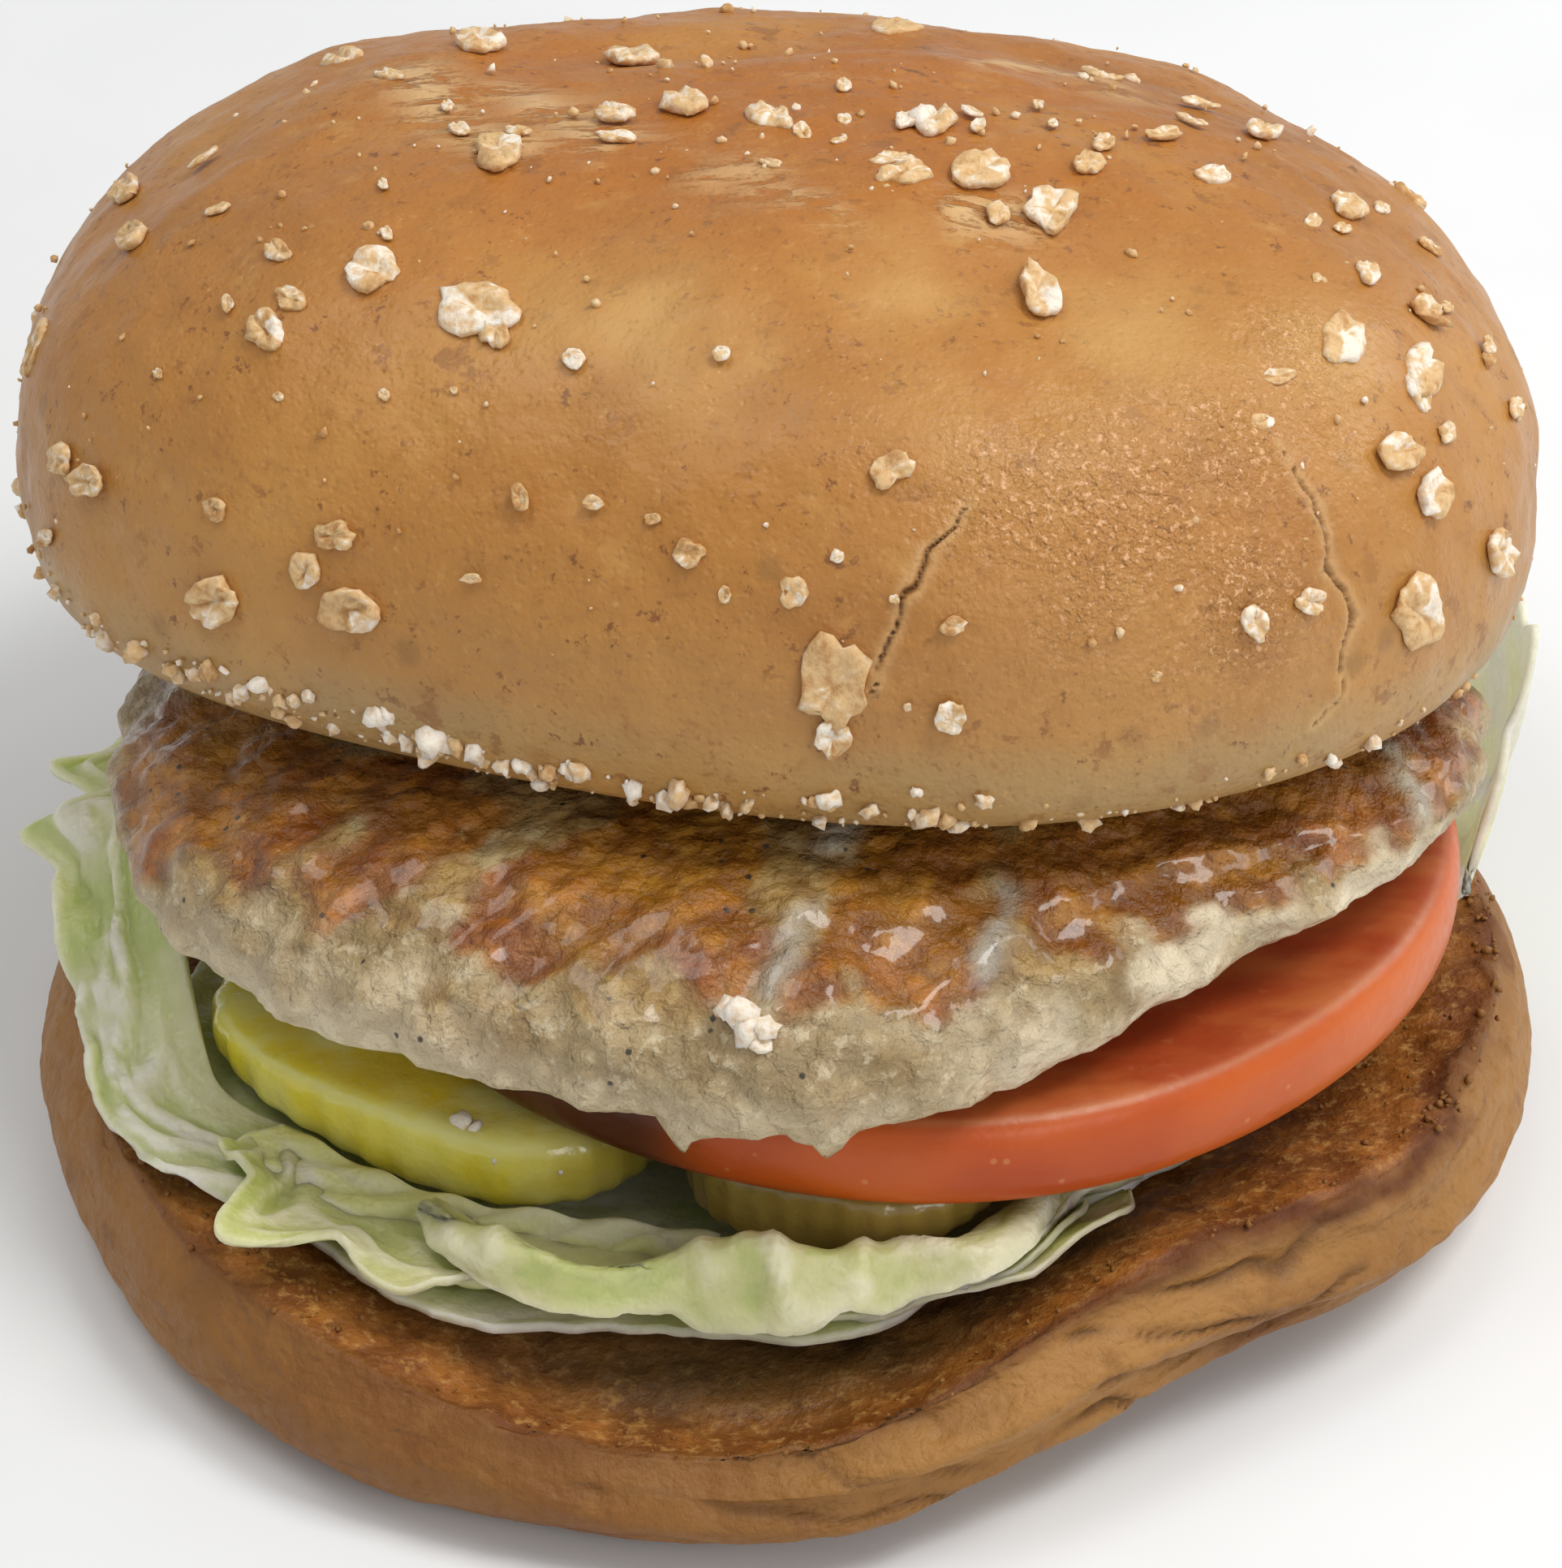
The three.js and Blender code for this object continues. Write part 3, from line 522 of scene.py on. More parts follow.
def heel_finish():
    """Lower bun: brown crust outside, and a toasted cut face with a scorched rim."""
    f = Finish("toasted_heel")
    cut, toast = f.own("cut"), f.own("toast")
    patches, mottle, fine = f.cloud(20, 3, 0.5), f.cloud(5, 4, 0.6), f.cloud(1.2, 4, 0.65)
    creases = f.cloud(5, 3, 0.5, 0.5, f.stretched((0.7, 0.7, 1.4)))
    crust = f.layered(
        "7c4c1b", (patches, 0.36, 0.66, 1, "91632a"), (f.own("lit"), "ab7a3c"),
        (mottle, 0.54, 0.74, 0.45, "6c3f13"), (mottle, 0.44, 0.28, 0.4, "a17337"),
        (fine, 0.56, 0.76, 0.35, "714316"), (creases, 0.42, 0.3, 0.2, "6a3d13"),
        # Painted shade: the wrinkle grooves are painted darker, as shade in the creases.
        (f.own("wrinkle"), "55310e"),
    )
    crumb = f.layered(
        "784317", (mottle, 0.36, 0.66, 1, "aa6a2c"), (fine, 0.5, 0.7, 0.75, "c6924e"),
        (f.cloud(0.9, 3, 0.7), 0.56, 0.68, 0.5, "5c3010"),
    )
    base = f.layered(
        # Painted shade: the front of the cut face, in the pressed hollow, is painted darker.
        crust, (cut, crumb), (f.times(cut, f.own("deep")), "4f4026"),
        (f.times(toast, f.level(mottle, 0.3, 0.6, 0.7, 1)), "5a2c0e"),
    )
    creased = f.times(f.level(creases, 0.3, 0.6), f.level(cut, 0, 1, 1, 0))
    normal = f.bumps((fine, 0.35), (mottle, 0.5), (creased, 0.35))
    greasy = f.times(cut, f.level(patches, 0.42, 0.6))
    rough = f.sum(f.level(fine, 0.3, 0.7, 0.42, 0.65), f.times(greasy, 0.2), "SUBTRACT")
    rough = f.sum(rough, f.times(toast, 0.3))
    return f.surface(base, rough, normal, 0.4, (0.05, (1, 0.7, 0.45), 0.002))


# ---- Heel ----------------------------------------------------------------------------------------

def heel_radius(angle):
    return HEEL["radius"] * (1 + lobes(angle, HEEL["lobes"]))


def heel_lift(angle, share):
    return lobes(angle, HEEL["lifts"]) * smoothstep(share, 0.55, 1)


def heel_top(x, y):
    angle = angle_of(x, y)
    share = np.hypot(x, y) / heel_radius(angle)
    pressed = lerp(HEEL["middle"], HEEL["rim"], smoothstep(share, 0.45, 0.97))
    return pressed + heel_lift(angle, share)


def rim_dip(angle):
    return HEEL["dip"] * lobe(angle, -6, 44)


def heel_hollow(x, y):
    """The crumb and the rim are pressed in at the front, under the ends of the leaves."""
    angle = angle_of(x, y)
    share = np.hypot(x, y) / heel_radius(angle)
    behind_rim = smoothstep(share, 0.5, 0.75) * (1 - smoothstep(share, 0.84, 0.98))
    hollow = HEEL["hollow"] * lobe(angle, 0, 52) * behind_rim
    return hollow + rim_dip(angle) * smoothstep(share, 0.72, 0.92)


def make_heel(finish):
    radius, rim = HEEL["radius"], HEEL["rim"]
    inner = radius - HEEL["foot"]
    profile = [[0, 0], [inner, 0]]
    for turn in range(10, 91, 10):
        out, up = math.sin(math.radians(turn)), 1 - math.cos(math.radians(turn))
        profile.append([inner + HEEL["foot"] * out, HEEL["widest"] * up])
    profile += [[radius - 0.5, 8], [radius - 1.5, 10.6], [radius - HEEL["shoulder"], rim], [0, rim]]
    foot, wall = eased(profile[:2], 3), eased(profile[1:-1], 0.35)
    cut = eased(profile[-2:], 0.9)
    mesh = meshed("heel", turned([*foot[:-1], *wall, *cut[1:]], STEPS["heel"]))
    points = points_of(mesh)
    x, y, z = points.T.copy()
    angle = angle_of(x, y)
    share = np.hypot(x, y) / radius
    spread = 1 + lobes(angle, HEEL["lobes"]) * smoothstep(share, 0.1, 0.9)
    x, y = x * spread, y * spread
    on_top = z > rim - 0.35
    on_side = (share > 0.8) & ~on_top
    wave = np.sin(z * 1.1 + points[:, 0] * 0.09)
    inwards = 1 - np.where(on_side, HEEL["crease"] * wave * lobe(angle, 30, 62) / radius, 0)
    lowered = rim_dip(angle) * smoothstep(z, 6, 12)
    lifted = z + np.where(on_side, heel_lift(angle, share) - lowered, 0)
    height = np.where(on_top, heel_top(x, y) - heel_hollow(x, y) - (rim - z), lifted)
    move_to(mesh, np.stack([x * inwards, y * inwards, height], 1))
    # The crust buckles in folds where it is pushed in, and the cut face has an open crumb.
    points = points_of(mesh)
    arc = np.radians(angle) * radius
    ragged = grain(np.stack([arc, 0 * arc, 0 * arc], 1), 7, 2, 6)
    front = lobe(angle, 30, 62)
    unrolled = np.stack([arc, points[:, 2], 0 * arc], 1)
    climbing = points[:, 2] + 0.09 * arc + 2.6 * grain(unrolled, 12, 11, 2)
    lines = np.sin(np.pi * climbing / 3.1)
    broken = smoothstep(grain(unrolled, 9, 12, 2), -0.5, -0.05)
    wrinkle = hump(lines, 0, 0.32) * broken * front * on_side * smoothstep(points[:, 2], 1.5, 4)
    folds = grain(points, 16, 3, 2, (0.45, 0.45, 2.4))
    crumb = grain(points, 2.6, 5, 3)
    lumps = grain(points, 11, 7, 3)
    relief = on_side * (0.35 * lumps + 1.1 * front * folds + 0.14 * crumb - 0.7 * wrinkle)
    relief += on_top * smoothstep(share, 0.5, 0.75) * (0.4 * crumb + 0.5 * lumps)
    relief *= np.where(points[:, 2] < 1.0, 0, 1)
    # The scorched rim where the crust was sliced is a thin, torn edge.
    torn = share + (0.012 + 0.02 * lobe(angle, 80, 50)) * ragged
    brim = hump(torn, 0.945, 0.012) * (z > 11)
    raise_by(mesh, relief + 0.5 * brim * (0.6 + ragged) * lobe(angle, 75, 90))
    mark(mesh, "cut", on_top * (1 - smoothstep(torn, 0.93, 0.945)))
    reach = 0.018 + 0.02 * lobe(angle, 88, 40)
    edge = hump(torn, 0.935, reach) * (z > 10.5)
    line = hump(torn, 0.94, 0.013) * (z > 10.5) * lobe(angle, 55, 85)
    patchy = smoothstep(grain(points, 14, 9, 3), -0.35, 0.2)
    browned = edge * (0.4 + 0.6 * patchy) * (0.3 + 0.7 * lobe(angle, 60, 115))
    mark(mesh, "toast", np.maximum(browned, 0.9 * line))
    # Painted shade: the front of the cut face, in the pressed hollow, is painted darker.
    mark(mesh, "deep", 0.75 * lobe(angle, -2, 60) * (1 - smoothstep(share, 0.78, 0.93)))
    # Painted shade: the wrinkle grooves are painted dark.
    mark(mesh, "wrinkle", 0.75 * wrinkle)
    lit = front * smoothstep(points[:, 2], 3, 9) * smoothstep(folds, -0.35, 0.3)
    lit = lit + 0.7 * lobe(angle, -72, 50) + 0.8 * lobe(angle, 74, 36)
    mark(mesh, "lit", 0.75 * on_side * np.minimum(lit, 1))
    shown("heel_of_bun", mesh, finish, "bun_heel")


# ---- Lettuce -------------------------------------------------------------------------------------

def nest(x, y):
    return 0.2 * unevenness(x, y, 0, 23, 0.7)


def leaf_bed(x, y, layer):
    above = layer * (LEAF + AIR) + np.where(np.asarray(layer) > 0, 0.2, 0)
    return heel_top(x, y) + AIR + 0.2 + LEAF / 2 + nest(x, y) + above


def laid(flat, layer, rise):
    """Lays a leaf's points on what is below its layer, with a rise of its own."""
    flat[:, 2] = leaf_bed(flat[:, 0], flat[:, 1], layer) + rise
    return flat


def ripple(angle, waves, phase):
    return np.sin(np.radians(angle * waves) + phase)


def leaf(name, node, slot, place, size, finish, folds, tear, thickness=LEAF):
    """A wavy leaf: a grid laid along its place(), folded where it is free and torn at its margin.

    Its size is (length, width) in millimetres; its folds are (length, width, height, slant).
    """
    length, width = size
    skin = bmesh.new()
    bmesh.ops.create_grid(skin, x_segments=int(length / 0.4), y_segments=int(width / 0.4), size=0.5)
    mesh = meshed(name, skin)
    flat = points_of(mesh)
    along, across = flat[:, 0] + 0.5, flat[:, 1] + 0.5
    ragged = grain(np.stack([along * length, 0 * along, 0 * along], 1), 9, 3, 5)
    reach = np.clip(across * (1 - tear * (0.5 + ragged) * smoothstep(across, 0.5, 1)), 0, 1)
    move_to(mesh, place(along, reach))
    free = smoothstep(across, 0.15, 0.5)
    run, rise = along * length, across * width
    bent = 4 * grain(np.stack([run, rise, 0 * run], 1), 11, 8, 2)
    aside = (rise + folds[3] * run + bent) / folds[1]
    waves = grain(np.stack([(run + bent) / folds[0], aside, 0 * run], 1), 1, 4, 1)
    ridges = 1 - np.minimum(np.abs(waves) / 0.4, 1)
    crumpled = grain(np.stack([run, 2 * rise, 0 * run], 1), 5, 7, 3)
    raise_by(mesh, folds[2] * free * (ridges ** 1.5 - 0.4) + 0.3 * free * crumpled)
    # Painted light: the fold crests are painted whitish and the troughs greener, as highlight and
    # shade.
    mark(mesh, "ridge", free * smoothstep(ridges + 0.5 * crumpled, 0.62, 1.05))
    mark(mesh, "valley", free * smoothstep(ridges + 0.6 * crumpled, 0.4, 0.05))
    mark(mesh, "margin", 0.6 * smoothstep(across, 0.9, 1))
    shown(name, mesh, finish, node, thickness)


def make_leaves():
    blade = lettuce_finish("lettuce_blade", "cfd3a4", "adba74", "e4e6c6")
    # Painted light: two much paler copies of the lettuce, one for the right leaf, as if lit through
    # from behind, and one for the fold by the pickle, which lies in shade.
    bright = lettuce_finish("lettuce_painted_light", "fdfec2", "f1f9a0", "fefed8", 0.006, (0.95, 1, 0.9))
    heart = lettuce_finish("lettuce_heart", "ccca94", "b6be78", "dad7b0")
    inner = lettuce_finish("lettuce_inner_painted_light", "f2efb4", "dcdf8c", "f3efc4", 0.003, (0.95, 1, 0.9))

    def base_place(along, across):
        angle = lerp(-180, 180, along)
        share = lerp(0.3, 1, across)
        margin = [
            [-62, 32, 0.12], [-31, 20, 0.08], [27, 26, -0.13], [58, 40, -0.16], [180, 90, -0.08],
        ]
        spread = 1 + (lobes(angle, margin) + 0.014 * ripple(angle, 13, 0)) * share
        ruffle = 0.15 * (1 + ripple(angle, 13, 1)) * smoothstep(share, 0.85, 1)
        return laid(around(angle, 49 * share * spread, 0), 0, ruffle * lobe(angle, -30, 90))

    def left_place(along, across):
        bulges = [[-60, 14, 4.5], [-72, 14, 5], [-85, 12, 5.5], [-97, 14, 4], [-108, 9, 4]]
        tips = [[-92.5, 4, 5], [-101, 5, 5]]
        angle = lerp(-47.5, -114, along)
        standing = smoothstep(-angle, 60, 86)
        inner = lerp(43, 48.5, smoothstep(-angle, 55, 66))
        margin = 52.5 + lobes(angle, bulges) + lobes(angle, tips)
        flat = around(angle, lerp(inner, margin, across), 0)
        bed = leaf_bed(flat[:, 0], flat[:, 1], 1) + 0.3 * smoothstep(across, 0.6, 1)
        low = 17.6 + 5.5 * smoothstep(-angle, 76, 92)
        pleats = 0.8 * ripple(angle + 16 * across, 22, 2) * smoothstep(across, 0.1, 0.5)
        sloping = lerp(27.4 - 0.105 * flat[:, 1], low, across ** 0.8) + pleats
        flat[:, 2] = lerp(bed, np.maximum(sloping, bed), standing)
        return flat

    def corner_place(along, across):
        margin = [[-45, 6, 7.5], [-34, 8, 1.5], [-22, 12, -5]]
        angle = lerp(-26, -56, along)
        flat = around(angle, lerp(45, 52.5 + lobes(angle, margin), across), 0)
        wave = 0.5 * (1 + ripple(angle + 8 * across, 34, 0)) * smoothstep(-angle, 37, 42)
        rise = (0.6 + 1.2 * lobe(angle, -46, 14) + wave) * smoothstep(across, 0.55, 1)
        return laid(flat, 2.15, rise)

    def front_place(along, across):
        margin = [[-19, 16, 2], [36, 22, -7.5], [-38, 10, -4]]
        angle = lerp(40, -36, along)
        over_corner = smoothstep(-angle, 6, 18)
        edge = 49.7 + lobes(angle, margin) + 0.5 * ripple(angle, 19, 1)
        flat = around(angle, lerp(lerp(36, 43, over_corner), edge, across), 0)
        tall = lerp(6.2, 4.6, over_corner) * lobe(angle, -6, 52)
        crest = tall * np.sin(np.pi * smoothstep(across, 0.4, 1.06))
        rise = crest * (1 + 0.15 * ripple(angle + 10 * across, 13, 0))
        flat[:, 2] = leaf_bed(flat[:, 0], flat[:, 1], lerp(1.3, 3.3, over_corner)) + 0.2 + rise
        return flat

    def right_place(along, across):
        angle = lerp(127, 93, along)
        standing = smoothstep(angle, 92, 103) * smoothstep(128 - angle, 0, 20)
        margin = 55.7 + 7 * standing + 0.5 * ripple(angle, 17, 0)
        flat = around(angle, lerp(44, margin, np.sin(np.pi / 2 * across)), 0)
        height = (22.5 + 1.2 * ripple(angle, 23, 1)) * standing
        return laid(flat, 1, height * np.maximum(0, 2 * across - 1) ** 1.5)

    def edge_place(start, end, radius, layer):
        """A narrow torn strip of leaf that shows below the front fold."""
        def place(along, across):
            angle = lerp(start, end, along)
            margin = radius + 0.5 * ripple(angle, 21, layer) - 5.5 * (2 * along - 1) ** 4
            flat = around(angle, lerp(radius - 6, margin, across), 0)
            rise = 0.5 * (1 + ripple(angle, 26, layer)) * smoothstep(across, 0.5, 1)
            return laid(flat, layer, rise)
        return place

    def inner_place(along, across):
        """A fold that leans on the left pickle, behind the front fold and the corner."""
        angle = lerp(-57, -7, along)
        stops = [-64, -48, -38, -32, -25, -14, -7]
        against = np.interp(angle, stops, [47.4, 44, 43.1, 42.6, 41.4, 39.4, 38.4])
        deep = np.interp(angle, stops, [5, 5, 4, 3, 2.6, 2.4, 2.2])
        flat = around(angle, lerp(against, against + deep + 0.4 * ripple(angle, 31, 0), across), 0)
        upper = np.interp(angle, stops, [15.9, 15.6, 16.4, 17, 17.5, 16.9, 15.6])
        lower = np.interp(angle, stops, [15.3, 15.7, 14.6, 13.8, 13.2, 15.2, 15])
        flat[:, 2] = lerp(upper, lower, across ** 1.4) + 0.3 * ripple(angle + 10 * across, 41, 1)
        return flat

    # Each leaf: its place, size, finish, folds and tear. Its node has the same name.
    leaves = {
        "base": (base_place, (170, 36), blade, (16, 11, 0.5, 0.2), 0.07),
        "left": (left_place, (64, 16), blade, (24, 4.4, 1.1, 0.12), 0.09),
        "corner": (corner_place, (28, 12), heart, (10, 5, 0.9, 0.5), 0.11),
        "front": (front_place, (64, 16), heart, (15, 5.5, 1.1, 0.2), 0.08, RIB),
        "right": (right_place, (36, 26), bright, (8, 14, 0.6, 0.4), 0.06),
    }
    for name, settings in leaves.items():
        slot = "lettuce_rib" if name == "front" else "lettuce"
        leaf("leaf_" + name, "lettuce_" + name, slot, *settings)
    # Narrower folds and strips that show between them.
    leaf("fold_inner", None, "lettuce", inner_place, (42, 6), inner, (10, 5, 0.4, 0.3), 0.08, 0.5)
    strips = {"edge_lower": (2, 38, 48.2, 0.55), "edge_upper": (-6, 33, 47.9, 1.05)}
    for name, strip in strips.items():
        place = edge_place(*strip)
        leaf(name, None, "lettuce", place, (38, 6), heart, (9, 5, 0.3, 0.3), 0.08, 0.45)


# ---- Pickles and tomato --------------------------------------------------------------------------

def make_pickle(name, finish):
    size = PICKLES[name]
    profile = [
        [0, 0], [0.6, 0], [0.93, 0], [0.985, 0.15], [1, 0.45], [1, 0.75], [0.97, 0.94],
        [0.9, 1], [0.6, 1], [0, 1],
    ]
    half = size["width"] / 2
    line = eased([[r * half, z * size["thickness"]] for r, z in profile], 0.4)
    mesh = meshed(name, turned(line, STEPS["pickle"]))
    points = points_of(mesh)
    share = np.hypot(points[:, 0], points[:, 1]) / half
    bottom = size["wedge"] * (1 - smoothstep(points[:, 0] / half, -1, 0.3))
    points[:, 2] = lerp(bottom, size["thickness"], points[:, 2] / size["thickness"])
    angle = np.arctan2(points[:, 1], points[:, 0])
    power = 2.8
    blunt = (np.abs(np.cos(angle)) ** power + np.abs(np.sin(angle)) ** power) ** (-1 / power)
    points[:, 0] *= blunt * size["length"] / size["width"]
    points[:, 1] *= blunt
    move_to(mesh, points)
    ribs = 0.12 * np.cos(angle * 34) * smoothstep(share, 0.9, 0.98)
    raise_by(mesh, 0.3 * grain(points, 7, 1, 3) - 0.15 + ribs * (share > 0.9))
    height = (points[:, 2] - bottom) / (size["thickness"] - bottom)
    mark(mesh, "rind", 0.5 * smoothstep(share, 0.9, 0.98))
    # Painted highlight: a light line along the upper edge of the rind.
    mark(mesh, "rim", 0.7 * hump(share, 0.97, 0.03) * smoothstep(height, 0.7, 0.95))
    turn = Matrix.Rotation(math.radians(size["turn"]), 3, "Z")
    hung = points_of(mesh) @ np.array(turn).T + np.array([*size["at"], -AIR - size["thickness"]])
    move_to(mesh, settled(hung, **SLICES))
    # Painted shade: the right end, under the tomato, is painted darker.
    mark(mesh, "dim", 0.75 * smoothstep(points_of(mesh)[:, 0], -21, -9))
    shown(name + "_slice", mesh, finish, name)


def make_tomato():
    radius, thickness = TOMATO["radius"], TOMATO["thickness"]
    profile = [
        [0, 0], [radius * 0.6, 0], [radius - 1.6, 0], [radius - 0.4, 0.8], [radius, 2.6],
        [radius, 5.4], [radius - 0.5, 7.2], [radius - 1.4, thickness], [radius * 0.6, thickness],
        [0, thickness],
    ]
    mesh = meshed("tomato", turned(eased(profile, 0.6), STEPS["tomato"]))
    points = points_of(mesh)
    angle = angle_of(points[:, 0], points[:, 1])
    share = np.hypot(points[:, 0], points[:, 1]) / radius
    spread = 1 + 0.008 * np.sin(np.radians(5 * angle + 40))
    points[:, 0] *= spread
    points[:, 1] *= spread * TOMATO["depth"]
    height = points[:, 2].copy()
    move_to(mesh, points)
    raise_by(mesh, 0.16 * grain(points, 6, 2, 3) * (1 - smoothstep(share, 0.93, 0.97)) - 0.06)
    mark(mesh, "skin", smoothstep(share, 0.972, 0.985))
    # Painted light: the skin is painted a lighter orange on the right, where the lamps light it.
    mark(mesh, "ripe", 0.8 * lobe(angle, 62, 46))
    edge = 0.5 * hump(share, 0.97, 0.006) * (height > thickness - 2)
    mark(mesh, "edge", edge * (1 - 0.5 * lobe(angle, 100, 60)))
    move_to(mesh, settled(points_of(mesh) + np.array(TOMATO["at"]), **SLICES))
    # Painted shadow: the left of the slice, under the patty, is painted dark.
    mark(mesh, "soaked", 0.95 * (1 - smoothstep(points_of(mesh)[:, 0], -11, -4)))
    shown("tomato_round", mesh, tomato_finish(), "tomato_slice")


# ---- Patty ---------------------------------------------------------------------------------------

# Browned patches on the top: [x, y, radius, redness].
SEARED = [
    [-41, -13, 7, 0.2], [-46.5, -8, 4.5, 0.3], [-47.5, -17, 4.2, 1], [-43, -16, 4.5, 0.3],
    [-38.5, -22, 5, 0.8], [-49, -4, 3, 0.7], [-28, -20.5, 4, 0.6],
    [-24, -25.5, 4, 0.5], [-29.5, -29, 4.5, 0.6], [-33.5, -31, 3.2, 0.9], [-18, -33.5, 3.6, 0.7],
    [-21.5, -37.5, 3, 1], [-12, -36, 4.6, 0.2], [-14, -31, 3, 0.4], [-5, -31.8, 5, 0.1],
    [-7.4, -26, 5, 0.2],
    [-4.5, -42, 3.4, 0.9], [-5.4, -38.5, 3, 0.8], [7.4, -41.1, 4, 0.6], [2.6, -45.2, 3, 0.7],
    [12.7, -39.8, 3.6, 0.7], [8, -36, 4.4, 0.1], [10, -29, 5, 0.3], [20, -33, 5.5, 0.5],
    [26.2, -31, 5, 0.6],
    [31.2, -26.6, 5.5, 0.6], [36, -24.5, 5, 0.6], [39, -21.6, 5.5, 0.5], [42, -19, 5, 0.7],
    [45.5, -17.3, 5, 0.8], [48.5, -12, 4.5, 0.4], [52, -6, 5, 0.9], [54, 2, 5, 0.8],
    [24, -24, 7, 0.4],
    [34, -15, 8, 0.5], [-44, 8, 6, 0.8], [-34, 30, 8, 0.5], [-8, 44, 7, 0.6], [22, 38, 8, 0.7],
    [46, 16, 7, 0.5],
]
# Melted fat in narrow runs over the top: [x, y].
FAT_RUNS = [
    [[5.2, -27], [3.4, -31.5], [2.4, -36], [0.6, -40.5], [-0.8, -43.8]],
    [[47, -8.5], [47.8, -11], [49.6, -14], [49.2, -17]],
    [[16.5, -33], [15.7, -37.7], [14.8, -40]],
]
# Fat that has run down the edge and set in drips: [angle, width, length].
DRIPS = [
    [-9.3, 1.3, 2.4], [-7.6, 1.6, 0.9], [2.6, 1.8, 1.2], [4.6, 1.4, 1.7], [-3, 2.2, 0.6],
    [24, 2.4, 0.5],
]


def make_patty():
    radius, thickness, edge = PATTY["radius"], PATTY["thickness"], PATTY["edge"]
    profile = [
        [0, 0], [0.45, 0], [0.75, 0], [0.93, 0], [0.985, 1.6], [1, 4], [0.995, 6.4],
        [0.97, edge - 0.6], [0.93, edge + 0.9], [0.86, edge + 2.6], [0.76, edge + 4.2],
        [0.62, thickness - 0.8], [0.4, thickness - 0.2], [0.2, thickness], [0, thickness],
    ]
    line = eased([[r * radius, z] for r, z in profile], 0.65)
    mesh = meshed("patty", turned(line, STEPS["patty"]))
    points = points_of(mesh)
    x, y, z = points.T.copy()
    angle = angle_of(x, y)
    share = np.hypot(x, y) / radius
    crags = unevenness(x, y, z, 17, 1.3) + 0.25 * unevenness(x, y, z, 9, 2.9)
    spread = 1 + (lobes(angle, PATTY["lobes"]) + 0.013 * crags) * smoothstep(share, 0.2, 1)
    droop = PATTY["droop"] * lobe(angle, 0, 100) * share ** 4
    lumps = 0.4 * crags * smoothstep(share, 0.5, 0.8) - 1.2 * lobe(angle, 75, 65)
    rise = smoothstep(z, edge - 0.5, edge + 1.5)
    thinner = PATTY["thinning"] * lobe(angle, 62, 46) * smoothstep(share, 0.6, 1)
    raised = thinner * (1 - smoothstep(z, 0, edge))
    drips = sum(
        length * np.exp(-((np.radians(angle - at) * radius / width) ** 4))
        for at, width, length in DRIPS
    )
    dripped = drips * smoothstep(share, 0.93, 0.97) * (1 - smoothstep(z, 0.5, 3.5))
    height = z - droop + rise * lumps + raised - dripped
    move_to(mesh, np.stack([x * spread, y * spread, height], 1))
    points = points_of(mesh)
    side = smoothstep(share, 0.86, 0.97)
    under = (z < 0.3) & (share < 0.9)
    coarse = grain(points, 7, 1, 3)
    mince = grain(points, 2.2, 2, 3)
    flaky = grain(points, 1.1, 9, 2)
    hanging = smoothstep(z, 0.2, 3)
    relief = side * (hanging * (0.55 * coarse + 0.34 * mince) + 0.16 * flaky)
    relief += (1 - side) * (0.36 * coarse + 0.24 * mince + 0.12 * flaky)
    blots = grain(points, 9, 5, 3)
    speckle = grain(points, 3.4, 6, 3)
    ragged = grain(points, 5, 8, 3)
    wrapped = 2.6 * lobe(angle, 76, 36) + 3.2 * lobe(angle, -75, 28)
    top = smoothstep(z + 2.4 * ragged, edge - 0.6 - wrapped, edge + 1.4 - wrapped)
    weights = [
        np.exp(-(((points[:, 0] - px) ** 2 + (points[:, 1] - py) ** 2) / size ** 2))
        for px, py, size, _ in SEARED
    ]
    browned = sum(weights)
    red = sum(weight * patch[3] for weight, patch in zip(weights, SEARED)) / (browned + 1e-4)
    cover = np.minimum(browned, 1.1) + 0.4 * blots + 0.25 * speckle
    sear = smoothstep(cover, 0.36, 0.66)
    seam = hump(cover, 0.5, 0.09)
    fat = np.zeros(len(points))
    for run in FAT_RUNS:
        flat = points * [1, 1, 0] + 0.7 * np.stack([coarse, mince, 0 * coarse], 1)
        close, _, _ = near_line(flat, [[*spot, 0] for spot in run], 1.1)
        fat = np.maximum(fat, close * top * smoothstep(coarse, -0.5, 0.1))
    relief = relief - 0.25 + 0.25 * fat + 0.12 * top * seam - 0.12 * top * sear
    raise_by(mesh, np.where(under, -0.2, relief))
    mark(mesh, "sear", np.clip(sear * top - fat, 0, 1))
    mark(mesh, "red", np.clip(red + 0.5 * speckle, 0, 1))
    mark(mesh, "seam", 0.4 * seam * smoothstep(red, 0.3, 0.8))
    mark(mesh, "top", top)
    mark(mesh, "fat", 0.7 * fat)
    # Painted light: the sides are painted paler on the right and on the left shoulder, where the
    # lamps light them; they are also paler along the bottom.
    paler = 0.12 + lobe(angle, 46, 46) + 0.4 * lobe(angle, -42, 24)
    paler = paler * smoothstep(blots + 0.5 * speckle, -0.6, 0.15)
    mark(mesh, "creamy", np.clip(paler + 0.45 * (1 - smoothstep(z, 2.5, 6.5)), 0, 1))
    move_to(mesh, settled(points_of(mesh), **PATTY))
    shown("patty_of_turkey", mesh, patty_finish(), "turkey_patty")


# ---- Crown ---------------------------------------------------------------------------------------

